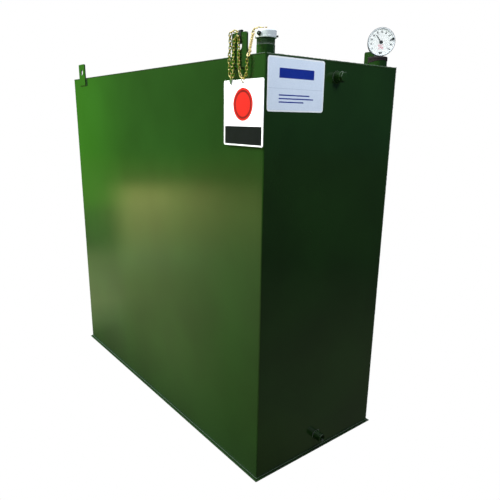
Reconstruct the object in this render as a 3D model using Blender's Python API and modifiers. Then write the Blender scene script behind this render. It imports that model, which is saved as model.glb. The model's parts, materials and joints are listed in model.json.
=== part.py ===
"""Steel fuel tank: folded sheet shell, base and top plates, lifting lugs and its fittings.

Metres, +Z up. The origin is on the ground, under the middle of the tank.
The long side with the hanging tag faces -Y, and the end with the outlet faces +X.
"""
import math

import bmesh
import bpy
from mathutils import Matrix, Vector

# Tank body
LENGTH = 1.524
WIDTH = 0.612
HEIGHT = 1.434
SHEET = 0.003
BASE_LIP = 0.010
BEND_RADIUS = 0.006
GAP = 0.0003

# Weld beads
BASE_FILLET_LEG = 0.006
CORNER_SETBACK = 0.0015
CORNER_BEAD_HEIGHT = 0.0026

# Lifting lugs: one plate near each corner, welded to the outside of the long sides
LUG_WIDTH = 0.073
LUG_THICKNESS = 0.006
LUG_RISE = 0.0645
LUG_LAP = 0.034
LUG_CORNER_RADIUS = 0.006
LUG_EYE_RADIUS = 0.013
LUG_EYE_RISE = 0.027
NEAR_LUG_INSET = 0.1172
FAR_LUG_INSET = 0.126
REAR_LUG_INSET = 0.1131

# Fill riser and its cap
RISER_X = LENGTH / 2 - 0.167
RISER_Y = -WIDTH / 2 + 0.140
RISER_RADIUS = 0.03015
RISER_WALL = 0.0036
THREAD_RADIUS = 0.0292
THREAD_START = 0.0485
CAP_BOTTOM = 0.068
CAP_HEIGHT = 0.026
CAP_RADIUS = 0.0348
CAP_BORE_RADIUS = 0.0298
CAP_ROOF = 0.006
CAP_ROUNDING = 0.006
LOCK_AZIMUTH = 14.0
LOCK_RADIUS = 0.007
LOCK_FACE_RADIUS = 0.005
LOCK_LENGTH = 0.007
LOCK_RISE = 0.0115
PIN_AZIMUTH = 128.0
PIN_RADIUS = 0.0036
PIN_LENGTH = 0.005
PIN_RISE = 0.005
STUD_RADIUS = 0.0045
STUD_NECK_RADIUS = 0.0025
STUD_HEIGHT = 0.0085

# Level gauge, over a socket by the rear corner
GAUGE_SOCKET_X = LENGTH / 2 - 0.047
GAUGE_SOCKET_Y = WIDTH / 2 - 0.050
GAUGE_SOCKET_RADIUS = 0.033
GAUGE_SOCKET_BORE = 0.0285
GAUGE_SOCKET_HEIGHT = 0.0258
GAUGE_NUT_RADIUS = 0.034
GAUGE_NUT_HEIGHT = 0.009
GAUGE_NECK_RADIUS = 0.0125
GAUGE_FACING = 44.0
GAUGE_CENTRE_RISE = 0.0824
GAUGE_FORWARD = 0.019
GAUGE_SIDEWAYS = 0.0054
GAUGE_RADIUS = 0.0467
GAUGE_DEPTH = 0.032
GAUGE_RIM = 0.006
HOUSING_WALL = 0.0025
HOUSING_CHAMFER = 0.004
DIAL_DEPTH = 0.006
DIAL_THICKNESS = 0.0013
LENS_THICKNESS = 0.0018
BEZEL_WALL = 0.002
BEZEL_LIP = 0.002
BEZEL_SKIRT = 0.006
HUB_RADIUS = 0.0058
HUB_BEHIND = 0.0042
HUB_AHEAD = 0.003
POINTER_ANGLE = 37.6
POINTER_LENGTH = 0.029
NEEDLE_WIDTH = 0.0014
NEEDLE_THICKNESS = 0.001
NEEDLE_RISE = 0.0008
STOP_RADIUS = 0.006
STOP_DROP = 0.0322
STOP_THICKNESS = 0.002
KNOB_ANGLE = 13.0
KNOB_REACH = 0.0396
KNOB_RADIUS = 0.0042
KNOB_HEIGHT = 0.005

# Sockets on the end
END_SOCKET_RADIUS = 0.017
END_SOCKET_BORE = 0.01225
END_SOCKET_Y = -0.006
OUTLET_RISE = 0.062
OUTLET_LENGTH = 0.035
UPPER_SOCKET_RISE = HEIGHT - 0.050
UPPER_SOCKET_LENGTH = 0.026
PLUG_ACROSS_FLATS = 0.027
PLUG_HEAD = 0.009
PLUG_SHANK_START = 0.010

# Chain, with the band that ties it to the near lug and the clip on its spare end
CHAIN_RADIUS = 0.004
FRONT_CHAIN_Y = -WIDTH / 2 - 0.0115
TIE_OFFSET = 0.004
TIE_WIDTH = 0.012
TIE_THICKNESS = 0.0018
TIE_HEAD = 0.007
TIE_EYE_INSET = 0.0055
CLIP_WIDTH = 0.012
CLIP_TIP_WIDTH = 0.004
CLIP_HEIGHT = 0.014
CLIP_THICKNESS = 0.002
CLIP_CLEARANCE = 0.001

# Tag and label
TAG_SIZE = 0.195
TAG_THICKNESS = 0.0015
TAG_CENTRE_X = 0.6738
TAG_TOP = 1.3652
TAG_CORNER_RADIUS = 0.006
TAG_HOLE_DROP = 0.009
TAG_HOLE_RADIUS = 0.003
TAG_RING_RADIUS = 0.0065
TAG_WIRE_RADIUS = 0.0012
LABEL_LENGTH = 0.236
LABEL_HEIGHT = 0.155
LABEL_THICKNESS = 0.0004
LABEL_SIDE_GAP = 0.0073
LABEL_TOP_GAP = 0.006


def clear_scene():
    for item in list(bpy.data.objects):
        bpy.data.objects.remove(item, do_unlink=True)


def new_collection(name):
    collection = bpy.data.collections.new(name)
    bpy.context.scene.collection.children.link(collection)
    return collection


clear_scene()
TANK = new_collection("steel_tank")
CUTTERS = new_collection("cutters")


def principled(name, colour, roughness, metallic=0.0, alpha=1.0):
    """A Principled material of one linear colour."""
    material = bpy.data.materials.new(name)
    material.use_nodes = True
    shader = material.node_tree.nodes["Principled BSDF"]
    shader.inputs["Base Color"].default_value = (*colour, 1.0)
    shader.inputs["Roughness"].default_value = roughness
    shader.inputs["Metallic"].default_value = metallic
    shader.inputs["Alpha"].default_value = alpha
    return material


def green_paint(name):
    return principled(name + "_paint", (0.022, 0.085, 0.018), 0.25)


def brass(name):
    return principled(name + "_brass", (0.62, 0.45, 0.16), 0.3, metallic=1.0)


def black_plastic(name):
    return principled(name + "_black", (0.012, 0.012, 0.013), 0.45)


def white_plastic(name):
    return principled(name + "_white", (0.85, 0.86, 0.86), 0.35)


def grey_metal(name):
    return principled(name + "_metal", (0.62, 0.64, 0.67), 0.32, metallic=0.9)


def add(name, data, material, matrix=None):
    """Puts a mesh or curve in the tank's collection, in a given place."""
    item = bpy.data.objects.new(name, data)
    TANK.objects.link(item)
    data.materials.append(material)
    if matrix is not None:
        item.matrix_world = matrix
    return item


def box(name, low, high, material):
    """A plain block between two corners."""
    low = Vector(low)
    high = Vector(high)
    size = high - low
    mesh = bpy.data.meshes.new(name)
    work = bmesh.new()
    place = Matrix.Translation((low + high) / 2) @ Matrix.Diagonal((*size, 1.0))
    bmesh.ops.create_cube(work, size=1.0, matrix=place)
    work.to_mesh(mesh)
    work.free()
    return add(name, mesh, material)


def poly_spline(curve, points, cyclic):
    spline = curve.splines.new("POLY")
    spline.points.add(len(points) - 1)
    for place, point in zip(spline.points, points):
        place.co = (*point, 1.0)
    spline.use_cyclic_u = cyclic
    return spline


def flat_curve(name, outlines, thickness):
    """A filled outline, with any further outlines as its holes, given half its thickness each way."""
    curve = bpy.data.curves.new(name, "CURVE")
    curve.dimensions = "2D"
    curve.fill_mode = "BOTH"
    curve.extrude = thickness / 2
    for outline in outlines:
        poly_spline(curve, [(x, y, 0.0) for x, y in outline], True)
    return curve


def plate(name, outlines, thickness, material, matrix):
    return add(name, flat_curve(name, outlines, thickness), material, matrix)


def arc(centre, radius, start, end, steps):
    """Points along an arc, with its angles in degrees."""
    points = []
    for i in range(steps + 1):
        angle = math.radians(start + (end - start) * i / steps)
        points.append((centre[0] + radius * math.cos(angle), centre[1] + radius * math.sin(angle)))
    return points


def circle(centre, radius, steps=32):
    return arc(centre, radius, 0, 360, steps)[:-1]


def rounded_rectangle(low, high, radii, steps=4):
    """Outline with its own radius at each corner: low low, high low, high high, low high."""
    corners = [(low[0], low[1], 1, 1, 180), (high[0], low[1], -1, 1, 270),
               (high[0], high[1], -1, -1, 0), (low[0], high[1], 1, -1, 90)]
    points = []
    for (x, y, inward_x, inward_y, start), radius in zip(corners, radii):
        if radius == 0:
            points.append((x, y))
            continue
        centre = (x + inward_x * radius, y + inward_y * radius)
        points.extend(arc(centre, radius, start, start + 90, steps))
    return points


def turned(name, profile, material, matrix=None, steps=48):
    """A closed profile of (radius, height) points, turned about the object's Z axis."""
    mesh = bpy.data.meshes.new(name)
    work = bmesh.new()
    verts = [work.verts.new((radius, 0.0, height)) for radius, height in profile]
    on_axis = profile[0][0] == 0 and profile[-1][0] == 0
    pairs = zip(verts, verts[1:] + ([] if on_axis else verts[:1]))
    for first, second in pairs:
        work.edges.new((first, second))
    work.to_mesh(mesh)
    work.free()
    item = add(name, mesh, material, matrix)
    screw = item.modifiers.new("Turn", "SCREW")
    screw.axis = "Z"
    screw.steps = steps
    screw.render_steps = steps
    screw.use_merge_vertices = True
    screw.merge_threshold = 0.00005
    screw.use_smooth_shade = False
    return item


def ring_profile(inner, outer, low, high):
    """Rectangle section of a ring, down its outer side first."""
    return [(inner, high), (outer, high), (outer, low), (inner, low)]


def disc_profile(radius, low, high):
    return [(0.0, high), (radius, high), (radius, low), (0.0, low)]


def smooth_path(points, per_span=3):
    """Points on a smooth curve through a hand-set route."""
    spots = [Vector(p) for p in points]
    ends = [2 * spots[0] - spots[1]] + spots + [2 * spots[-1] - spots[-2]]
    path = []
    for before, first, second, after in zip(ends, ends[1:], ends[2:], ends[3:]):
        for i in range(per_span):
            t = i / per_span
            path.append(0.5 * (2 * first + (second - before) * t
                               + (2 * before - 5 * first + 4 * second - after) * t * t
                               + (3 * first - before - 3 * second + after) * t ** 3))
    path.append(spots[-1])
    return path


def tube(name, points, radius, material, cyclic=False, resolution=2):
    """A round wire along a path, with its ends filled."""
    curve = bpy.data.curves.new(name, "CURVE")
    curve.dimensions = "3D"
    curve.bevel_depth = radius
    curve.bevel_resolution = resolution
    curve.use_fill_caps = not cyclic
    poly_spline(curve, points, cyclic)
    return add(name, curve, material)


def round_cutter(name, radius, start, end):
    """A cylinder between two points that cuts a hole and isn't part of the tank."""
    start = Vector(start)
    end = Vector(end)
    mesh = bpy.data.meshes.new(name)
    work = bmesh.new()
    turn = Vector((0, 0, 1)).rotation_difference(end - start).to_matrix().to_4x4()
    place = Matrix.Translation((start + end) / 2) @ turn
    bmesh.ops.create_cone(work, cap_ends=True, segments=32, radius1=radius, radius2=radius,
                          depth=(end - start).length, matrix=place)
    work.to_mesh(mesh)
    work.free()
    cutter = bpy.data.objects.new(name, mesh)
    CUTTERS.objects.link(cutter)
    cutter.hide_render = True
    cutter.display_type = "WIRE"
    return cutter


def combine(item, other, operation):
    boolean = item.modifiers.new(operation.title(), "BOOLEAN")
    boolean.operation = operation
    boolean.solver = "EXACT"
    boolean.object = other


def basis(origin, x_axis, y_axis):
    """Matrix whose X and Y axes lie along the given directions."""
    x_axis = Vector(x_axis).normalized()
    y_axis = Vector(y_axis).normalized()
    z_axis = x_axis.cross(y_axis)
    matrix = Matrix((x_axis, y_axis, z_axis)).transposed().to_4x4()
    matrix.translation = Vector(origin)
    return matrix


def direction(azimuth):
    """Level direction, 0 towards -Y and 90 towards +X."""
    angle = math.radians(azimuth)
    return Vector((math.sin(angle), -math.cos(angle), 0.0))


def folded_sheet(name, path, material):
    """A wall of bent sheet that stands between the base and top plates, from its outer face in plan."""
    low = SHEET + GAP
    high = HEIGHT - SHEET - GAP
    mesh = bpy.data.meshes.new(name)
    work = bmesh.new()
    bottom = [work.verts.new((x, y, low)) for x, y in path]
    top = [work.verts.new((x, y, high)) for x, y in path]
    for i in range(len(path) - 1):
        work.faces.new((bottom[i], bottom[i + 1], top[i + 1], top[i]))
    work.to_mesh(mesh)
    work.free()
    item = add(name, mesh, material)
    solidify = item.modifiers.new("Sheet", "SOLIDIFY")
    solidify.thickness = SHEET
    solidify.offset = -1.0
    solidify.use_even_offset = True
    return item


def front_shell_path():
    """Front side and near end: one sheet, folded at the near corner."""
    x = LENGTH / 2
    y = WIDTH / 2
    bend = arc((x - BEND_RADIUS, -y + BEND_RADIUS), BEND_RADIUS, 270, 360, 6)
    return [(-x + CORNER_SETBACK, -y)] + bend + [(x, y - SHEET - GAP)]


def shell():
    path = front_shell_path()
    front = folded_sheet("front_shell", path, green_paint("front_shell"))
    rear_path = [(-x, -y) for x, y in path]
    folded_sheet("rear_shell", rear_path, green_paint("rear_shell"))
    inner = (LENGTH / 2 - 0.02, END_SOCKET_Y, OUTLET_RISE)
    outer = (LENGTH / 2 + 0.02, END_SOCKET_Y, OUTLET_RISE)
    combine(front, round_cutter("outlet_hole", END_SOCKET_BORE, inner, outer), "DIFFERENCE")


def base_plate():
    x = LENGTH / 2 + BASE_LIP
    y = WIDTH / 2 + BASE_LIP
    box("base_plate", (-x, -y, 0), (x, y, SHEET), green_paint("base_plate"))


def top_plate():
    x = LENGTH / 2 - CORNER_SETBACK
    y = WIDTH / 2 - CORNER_SETBACK
    fold = BEND_RADIUS - CORNER_SETBACK
    outline = rounded_rectangle((-x, -y), (x, y), (0, fold, 0, fold))
    fill_hole = circle((RISER_X, RISER_Y), RISER_RADIUS - RISER_WALL)
    gauge_hole = circle((GAUGE_SOCKET_X, GAUGE_SOCKET_Y), GAUGE_SOCKET_BORE)
    place = Matrix.Translation((0, 0, HEIGHT - SHEET / 2))
    plate("top_plate", [outline, fill_hole, gauge_hole], SHEET, green_paint("top_plate"), place)


def bar(name, section, centre, x_axis, y_axis, length):
    """A straight bead of constant section, centred on a point."""
    return plate(name, [section], length, green_paint(name), basis(centre, x_axis, y_axis))


def base_welds():
    """Fillet along the foot of each wall, on the lip of the base plate."""
    leg = BASE_FILLET_LEG
    section = [(GAP, GAP), (leg, GAP), (GAP, leg)]
    x = LENGTH / 2
    y = WIDTH / 2
    long_side = LENGTH + 2 * leg
    short_side = WIDTH - 2 * BEND_RADIUS
    bar("front_base_weld", section, (0, -y, SHEET), (0, -1, 0), (0, 0, 1), long_side - 2 * BEND_RADIUS)
    bar("rear_base_weld", section, (0, y, SHEET), (0, 1, 0), (0, 0, 1), long_side - 2 * BEND_RADIUS)
    bar("near_base_weld", section, (x, 0, SHEET), (1, 0, 0), (0, 0, 1), short_side)
    bar("far_base_weld", section, (-x, 0, SHEET), (-1, 0, 0), (0, 0, 1), short_side)


def corner_section():
    """Quarter ellipse that fills the notch where two sheets meet at an outside corner."""
    out = CORNER_SETBACK - GAP
    return [(0.0, 0.0)] + [(x * out, y * CORNER_BEAD_HEIGHT) for x, y in arc((0, 0), 1.0, 0, 90, 5)]


def top_welds():
    inset = CORNER_SETBACK - GAP
    x = LENGTH / 2 - inset
    y = WIDTH / 2 - inset
    z = HEIGHT - SHEET
    section = corner_section()
    long_side = LENGTH - 2 * BEND_RADIUS
    short_side = WIDTH - 2 * BEND_RADIUS
    bar("front_top_weld", section, (0, -y, z), (0, -1, 0), (0, 0, 1), long_side)
    bar("rear_top_weld", section, (0, y, z), (0, 1, 0), (0, 0, 1), long_side)
    bar("near_top_weld", section, (x, 0, z), (1, 0, 0), (0, 0, 1), short_side)
    bar("far_top_weld", section, (-x, 0, z), (-1, 0, 0), (0, 0, 1), short_side)


def corner_welds():
    """The two upright corners where the folded sheets meet."""
    x = LENGTH / 2 - CORNER_SETBACK + GAP
    y = WIDTH / 2 - SHEET
    z = HEIGHT / 2
    length = HEIGHT - 2 * SHEET - 2 * GAP
    section = corner_section()
    bar("front_corner_weld", section, (-x, -y, z), (-1, 0, 0), (0, -1, 0), length)
    bar("rear_corner_weld", section, (x, y, z), (1, 0, 0), (0, 1, 0), length)


def lug(name, x, side):
    """Eye plate that stands up from the outer face of a long side: side is -1 in front, 1 behind."""
    half = LUG_WIDTH / 2
    radius = LUG_CORNER_RADIUS
    low = HEIGHT - LUG_LAP
    high = HEIGHT + LUG_RISE
    outline = rounded_rectangle((-half, low), (half, high), (0, 0, radius, radius))
    eye = circle((0, HEIGHT + LUG_EYE_RISE), LUG_EYE_RADIUS)
    y = side * (WIDTH / 2 + GAP + LUG_THICKNESS / 2)
    plate(name, [outline, eye], LUG_THICKNESS, green_paint(name), basis((x, y, 0), (1, 0, 0), (0, 0, 1)))


def lugs():
    near = LENGTH / 2 - NEAR_LUG_INSET
    far = -LENGTH / 2 + FAR_LUG_INSET
    rear = LENGTH / 2 - REAR_LUG_INSET
    lug("front_near_lug", near, -1)
    lug("front_far_lug", far, -1)
    lug("rear_near_lug", rear, 1)
    lug("rear_far_lug", far, 1)


def riser():
    """Threaded pipe that the tank is filled through."""
    bore = RISER_RADIUS - RISER_WALL
    top = CAP_BOTTOM + CAP_HEIGHT - CAP_ROOF - GAP
    profile = [(bore, top), (THREAD_RADIUS, top), (THREAD_RADIUS, THREAD_START),
               (RISER_RADIUS, THREAD_START), (RISER_RADIUS, GAP), (bore, GAP)]
    place = Matrix.Translation((RISER_X, RISER_Y, HEIGHT))
    turned("fill_riser", profile, green_paint("fill_riser"), place)


def cap():
    top = CAP_BOTTOM + CAP_HEIGHT
    roof = top - CAP_ROOF
    rounding = arc((CAP_RADIUS - CAP_ROUNDING, top - CAP_ROUNDING), CAP_ROUNDING, 90, 0, 5)
    skirt = [(CAP_RADIUS, CAP_BOTTOM), (CAP_BORE_RADIUS, CAP_BOTTOM), (CAP_BORE_RADIUS, roof)]
    profile = [(0.0, top)] + rounding + skirt + [(0.0, roof)]
    place = Matrix.Translation((RISER_X, RISER_Y, HEIGHT))
    turned("fill_cap", profile, grey_metal("fill_cap"), place)


def cap_side(azimuth, rise):
    """Frame on the side of the cap, its Z axis pointing outwards."""
    out = direction(azimuth)
    centre = Vector((RISER_X, RISER_Y, HEIGHT + rise)) + out * (CAP_RADIUS + GAP)
    across = Vector((0, 0, 1)).cross(out)
    return basis(centre, across, (0, 0, 1))


def cap_fittings():
    """Lock screw and stop pin on the side of the cap, and the stud on top that holds the chain."""
    shoulder = LOCK_RADIUS - LOCK_FACE_RADIUS
    lock = [(0.0, LOCK_LENGTH), (LOCK_FACE_RADIUS, LOCK_LENGTH), (LOCK_RADIUS, LOCK_LENGTH - shoulder),
            (LOCK_RADIUS, 0.0), (0.0, 0.0)]
    place = cap_side(LOCK_AZIMUTH, CAP_BOTTOM + LOCK_RISE)
    turned("cap_lock_screw", lock, black_plastic("cap_lock_screw"), place, 24)
    pin = disc_profile(PIN_RADIUS, 0.0, PIN_LENGTH)
    turned("cap_pin", pin, black_plastic("cap_pin"), cap_side(PIN_AZIMUTH, CAP_BOTTOM + PIN_RISE), 16)
    top = Matrix.Translation((RISER_X, RISER_Y, HEIGHT + CAP_BOTTOM + CAP_HEIGHT))
    bevel = 0.001
    stud = [(0.0, STUD_HEIGHT), (STUD_RADIUS - bevel, STUD_HEIGHT), (STUD_RADIUS, STUD_HEIGHT - bevel),
            (STUD_RADIUS, STUD_HEIGHT - 2 * bevel), (STUD_NECK_RADIUS, STUD_HEIGHT - 2.5 * bevel),
            (STUD_NECK_RADIUS, GAP), (0.0, GAP)]
    turned("cap_chain_stud", stud, brass("cap_chain_stud"), top, 20)


def gauge_frame():
    """Frame at the middle of the dial: X to the right, Y up, Z out of the dial."""
    out = direction(GAUGE_FACING)
    right = Vector((0, 0, 1)).cross(out)
    socket = Vector((GAUGE_SOCKET_X, GAUGE_SOCKET_Y, HEIGHT + GAUGE_CENTRE_RISE))
    return basis(socket + out * GAUGE_FORWARD + right * GAUGE_SIDEWAYS, right, (0, 0, 1))


def gauge_mounting():
    place = Matrix.Translation((GAUGE_SOCKET_X, GAUGE_SOCKET_Y, HEIGHT))
    socket = ring_profile(GAUGE_SOCKET_BORE, GAUGE_SOCKET_RADIUS, GAP, GAUGE_SOCKET_HEIGHT)
    turned("gauge_socket", socket, green_paint("gauge_socket"), place)
    low = GAUGE_SOCKET_HEIGHT + GAP
    nut = ring_profile(GAUGE_NECK_RADIUS + GAP, GAUGE_NUT_RADIUS, low, low + GAUGE_NUT_HEIGHT)
    turned("gauge_nut", nut, black_plastic("gauge_nut"), place)


def gauge_head():
    """Round housing on a neck, with the dial, pointer, lens and bezel in front of it."""
    frame = gauge_frame()
    rim = GAUGE_RIM
    floor = -DIAL_DEPTH
    wall = GAUGE_RADIUS - BEZEL_WALL
    recess = wall - HOUSING_WALL
    drum = [(0.0, floor), (recess, floor), (recess, rim), (wall, rim), (wall, HOUSING_CHAMFER - GAUGE_DEPTH),
            (wall - HOUSING_CHAMFER, -GAUGE_DEPTH), (0.0, -GAUGE_DEPTH)]
    housing = turned("gauge_housing", drum, grey_metal("gauge_housing"), frame)
    neck_low = (GAUGE_SOCKET_X, GAUGE_SOCKET_Y, HEIGHT + 0.010)
    neck_high = (GAUGE_SOCKET_X, GAUGE_SOCKET_Y, HEIGHT + GAUGE_CENTRE_RISE - 0.030)
    combine(housing, round_cutter("gauge_neck", GAUGE_NECK_RADIUS, neck_low, neck_high), "UNION")
    dial = disc_profile(recess - GAP, floor + GAP, floor + DIAL_THICKNESS)
    turned("gauge_dial", dial, white_plastic("gauge_dial"), frame)
    lens = disc_profile(wall + GAP, rim + GAP, rim + LENS_THICKNESS)
    glass = principled("gauge_lens_clear", (0.9, 0.95, 0.95), 0.05, alpha=0.2)
    turned("gauge_lens", lens, glass, frame)
    lip = rim + LENS_THICKNESS + GAP
    face = lip + BEZEL_LIP
    skirt = rim - BEZEL_SKIRT
    bezel = [(recess, face), (GAUGE_RADIUS - 0.001, face), (GAUGE_RADIUS, face - 0.001),
             (GAUGE_RADIUS, skirt), (wall + 2 * GAP, skirt), (wall + 2 * GAP, lip), (recess, lip)]
    turned("gauge_bezel", bezel, grey_metal("gauge_bezel"), frame)
    knob_angle = math.radians(KNOB_ANGLE)
    knob_spot = (KNOB_REACH * math.cos(knob_angle), KNOB_REACH * math.sin(knob_angle), face + GAP)
    knob = disc_profile(KNOB_RADIUS, 0.0, KNOB_HEIGHT)
    turned("gauge_knob", knob, black_plastic("gauge_knob"), frame @ Matrix.Translation(knob_spot), 20)
    half_disc = arc((0, 0), STOP_RADIUS, 180, 360, 8)
    stop_middle = floor + DIAL_THICKNESS + GAP + STOP_THICKNESS / 2
    stop_spot = frame @ Matrix.Translation((0.0, -STOP_DROP, stop_middle))
    plate("dial_stop", [half_disc], STOP_THICKNESS, black_plastic("dial_stop"), stop_spot)
    pointer(frame)


def pointer(frame):
    """Needle and hub as one piece, with its origin on the dial's axis."""
    turn = frame @ Matrix.Rotation(math.radians(POINTER_ANGLE), 4, "Z")
    hub = disc_profile(HUB_RADIUS, -HUB_BEHIND, HUB_AHEAD)
    item = turned("gauge_pointer", hub, black_plastic("gauge_pointer"), turn, 32)
    mesh = bpy.data.meshes.new("needle")
    work = bmesh.new()
    size = Matrix.Diagonal((NEEDLE_WIDTH, POINTER_LENGTH, NEEDLE_THICKNESS, 1.0))
    middle = Matrix.Translation((0, POINTER_LENGTH / 2, NEEDLE_RISE))
    bmesh.ops.create_cube(work, size=1.0, matrix=middle @ size)
    work.to_mesh(mesh)
    work.free()
    needle = bpy.data.objects.new("needle", mesh)
    CUTTERS.objects.link(needle)
    needle.matrix_world = turn
    needle.hide_render = True
    needle.display_type = "WIRE"
    combine(item, needle, "UNION")


def end_sockets():
    """Open outlet near the floor, and the plugged socket under the top edge."""
    sockets = (("outlet_socket", OUTLET_RISE, OUTLET_LENGTH),
               ("upper_socket", UPPER_SOCKET_RISE, UPPER_SOCKET_LENGTH))
    for name, rise, length in sockets:
        place = basis((LENGTH / 2, END_SOCKET_Y, rise), (0, 1, 0), (0, 0, 1))
        profile = ring_profile(END_SOCKET_BORE, END_SOCKET_RADIUS, GAP, length)
        turned(name, profile, green_paint(name), place)


def plug():
    """Hexagon-headed plug in the upper socket."""
    place = basis((LENGTH / 2, END_SOCKET_Y, UPPER_SOCKET_RISE), (0, 1, 0), (0, 0, 1))
    low = UPPER_SOCKET_LENGTH + GAP
    corner = PLUG_ACROSS_FLATS / math.sqrt(3)
    head = disc_profile(corner, low, low + PLUG_HEAD)
    item = turned("upper_plug", head, green_paint("upper_plug"), place, 6)
    start = place @ Vector((0, 0, PLUG_SHANK_START))
    end = place @ Vector((0, 0, low + PLUG_HEAD / 2))
    combine(item, round_cutter("plug_shank", END_SOCKET_BORE - GAP, start, end), "UNION")


def tag_and_label():
    half = TAG_SIZE / 2
    outline = rounded_rectangle((-half, -TAG_SIZE), (half, 0), (TAG_CORNER_RADIUS,) * 4)
    hole = circle((0, -TAG_HOLE_DROP), TAG_HOLE_RADIUS, 20)
    place = basis((TAG_CENTRE_X, FRONT_CHAIN_Y, TAG_TOP), (1, 0, 0), (0, 0, 1))
    plate("tag_plate", [outline, hole], TAG_THICKNESS, white_plastic("tag_plate"), place)
    low = (-WIDTH / 2 + LABEL_SIDE_GAP, HEIGHT - LABEL_TOP_GAP - LABEL_HEIGHT)
    high = (low[0] + LABEL_LENGTH, low[1] + LABEL_HEIGHT)
    label = rounded_rectangle(low, high, (TAG_CORNER_RADIUS,) * 4)
    place = basis((LENGTH / 2 + GAP + LABEL_THICKNESS / 2, 0, 0), (0, 1, 0), (0, 0, 1))
    vinyl = principled("end_label_vinyl", (0.55, 0.62, 0.72), 0.4)
    plate("end_label", [label], LABEL_THICKNESS, vinyl, place)


def tag_ring():
    """Wire ring through the tag's hole, which the chain hangs from."""
    hole_top = TAG_TOP - TAG_HOLE_DROP + TAG_HOLE_RADIUS
    centre_z = hole_top + TAG_RING_RADIUS - TAG_WIRE_RADIUS - GAP
    ring = circle((FRONT_CHAIN_Y, centre_z), TAG_RING_RADIUS, 24)
    points = [(TAG_CENTRE_X, y, z) for y, z in ring]
    tube("tag_ring", points, TAG_WIRE_RADIUS, brass("tag_ring"), cyclic=True)
    return centre_z + TAG_RING_RADIUS


def lug_tie():
    """Flat black band through the lug's eye and over its top edge, with its head on top."""
    x = LENGTH / 2 - NEAR_LUG_INSET + TIE_OFFSET
    front = -WIDTH / 2 - LUG_THICKNESS - 2 * GAP
    rear = -WIDTH / 2
    low = HEIGHT + LUG_EYE_RISE + LUG_EYE_RADIUS - TIE_EYE_INSET
    top = HEIGHT + LUG_RISE
    inner = rounded_rectangle((front, low), (rear, top + GAP), (0.0005,) * 4)
    outer_low = (front - TIE_THICKNESS, low - TIE_THICKNESS)
    outer_high = (rear + TIE_THICKNESS, top + TIE_HEAD)
    outer = rounded_rectangle(outer_low, outer_high, (0.0015,) * 4)
    place = basis((x, 0, 0), (0, 1, 0), (0, 0, 1))
    plate("lug_tie", [outer, inner], TIE_WIDTH, black_plastic("lug_tie"), place)
    return x - TIE_WIDTH / 2, front - TIE_THICKNESS, rear + TIE_THICKNESS


def chain_end_clip(x, chain_bottom):
    """Small tapered clip on the lowest link of the spare loop, in front of the tag."""
    half = CLIP_WIDTH / 2
    tip = CLIP_TIP_WIDTH / 2
    outline = [(-tip, -CLIP_HEIGHT), (tip, -CLIP_HEIGHT), (half, -CLIP_HEIGHT / 3), (half, 0), (-half, 0),
               (-half, -CLIP_HEIGHT / 3)]
    y = FRONT_CHAIN_Y - TAG_THICKNESS / 2 - CLIP_CLEARANCE - CLIP_THICKNESS / 2
    place = basis((x, y, chain_bottom), (1, 0, 0), (0, 0, 1))
    plate("chain_end_clip", [outline], CLIP_THICKNESS, grey_metal("chain_end_clip"), place)


def cap_chain(ring_wire):
    """Chain from the cap's stud, off the cap and down past the near lug to the tag's ring."""
    y = FRONT_CHAIN_Y
    cap_top = HEIGHT + CAP_BOTTOM + CAP_HEIGHT
    above = cap_top + CHAIN_RADIUS + GAP
    start = Vector((RISER_X, RISER_Y, above)) + direction(-40) * (STUD_RADIUS + CHAIN_RADIUS)
    route = [tuple(start), (0.5830, -0.1810, above), (0.5745, -0.1905, above), (0.5692, -0.1970, 1.5260),
             (0.5705, -0.2000, 1.5150), (0.5840, -0.2140, 1.5020), (0.6070, -0.2360, 1.4840),
             (0.6320, -0.2590, 1.4670), (0.6580, -0.2825, 1.4530), (0.6755, -0.2955, 1.4460),
             (0.6850, -0.3025, 1.4425), (0.6900, -0.3085, 1.4390), (0.6925, -0.3140, 1.4325),
             (0.6925, y, 1.4205), (0.6910, y, 1.4000), (0.6895, y, 1.3830), (0.6825, y, 1.3719),
             (TAG_CENTRE_X + TAG_WIRE_RADIUS + GAP, y, ring_wire)]
    tube("chain_cap_to_tag", smooth_path(route), CHAIN_RADIUS, brass("chain_cap_to_tag"))


def tag_chain(ring_wire, chain_front):
    """Chain from the tag's ring up to the band on the lug."""
    y = FRONT_CHAIN_Y
    route = [(TAG_CENTRE_X - TAG_WIRE_RADIUS - GAP, y, ring_wire), (0.6655, y, 1.3719), (0.6592, y, 1.3785),
             (0.6545, y, 1.3935), (0.6510, y, 1.4120), (0.6500, y, 1.4350), (0.6505, y, 1.4540),
             (0.6510, chain_front, 1.4710), (0.6510, chain_front, 1.4865)]
    tube("chain_tag_to_lug", smooth_path(route), CHAIN_RADIUS, brass("chain_tag_to_lug"))


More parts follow.
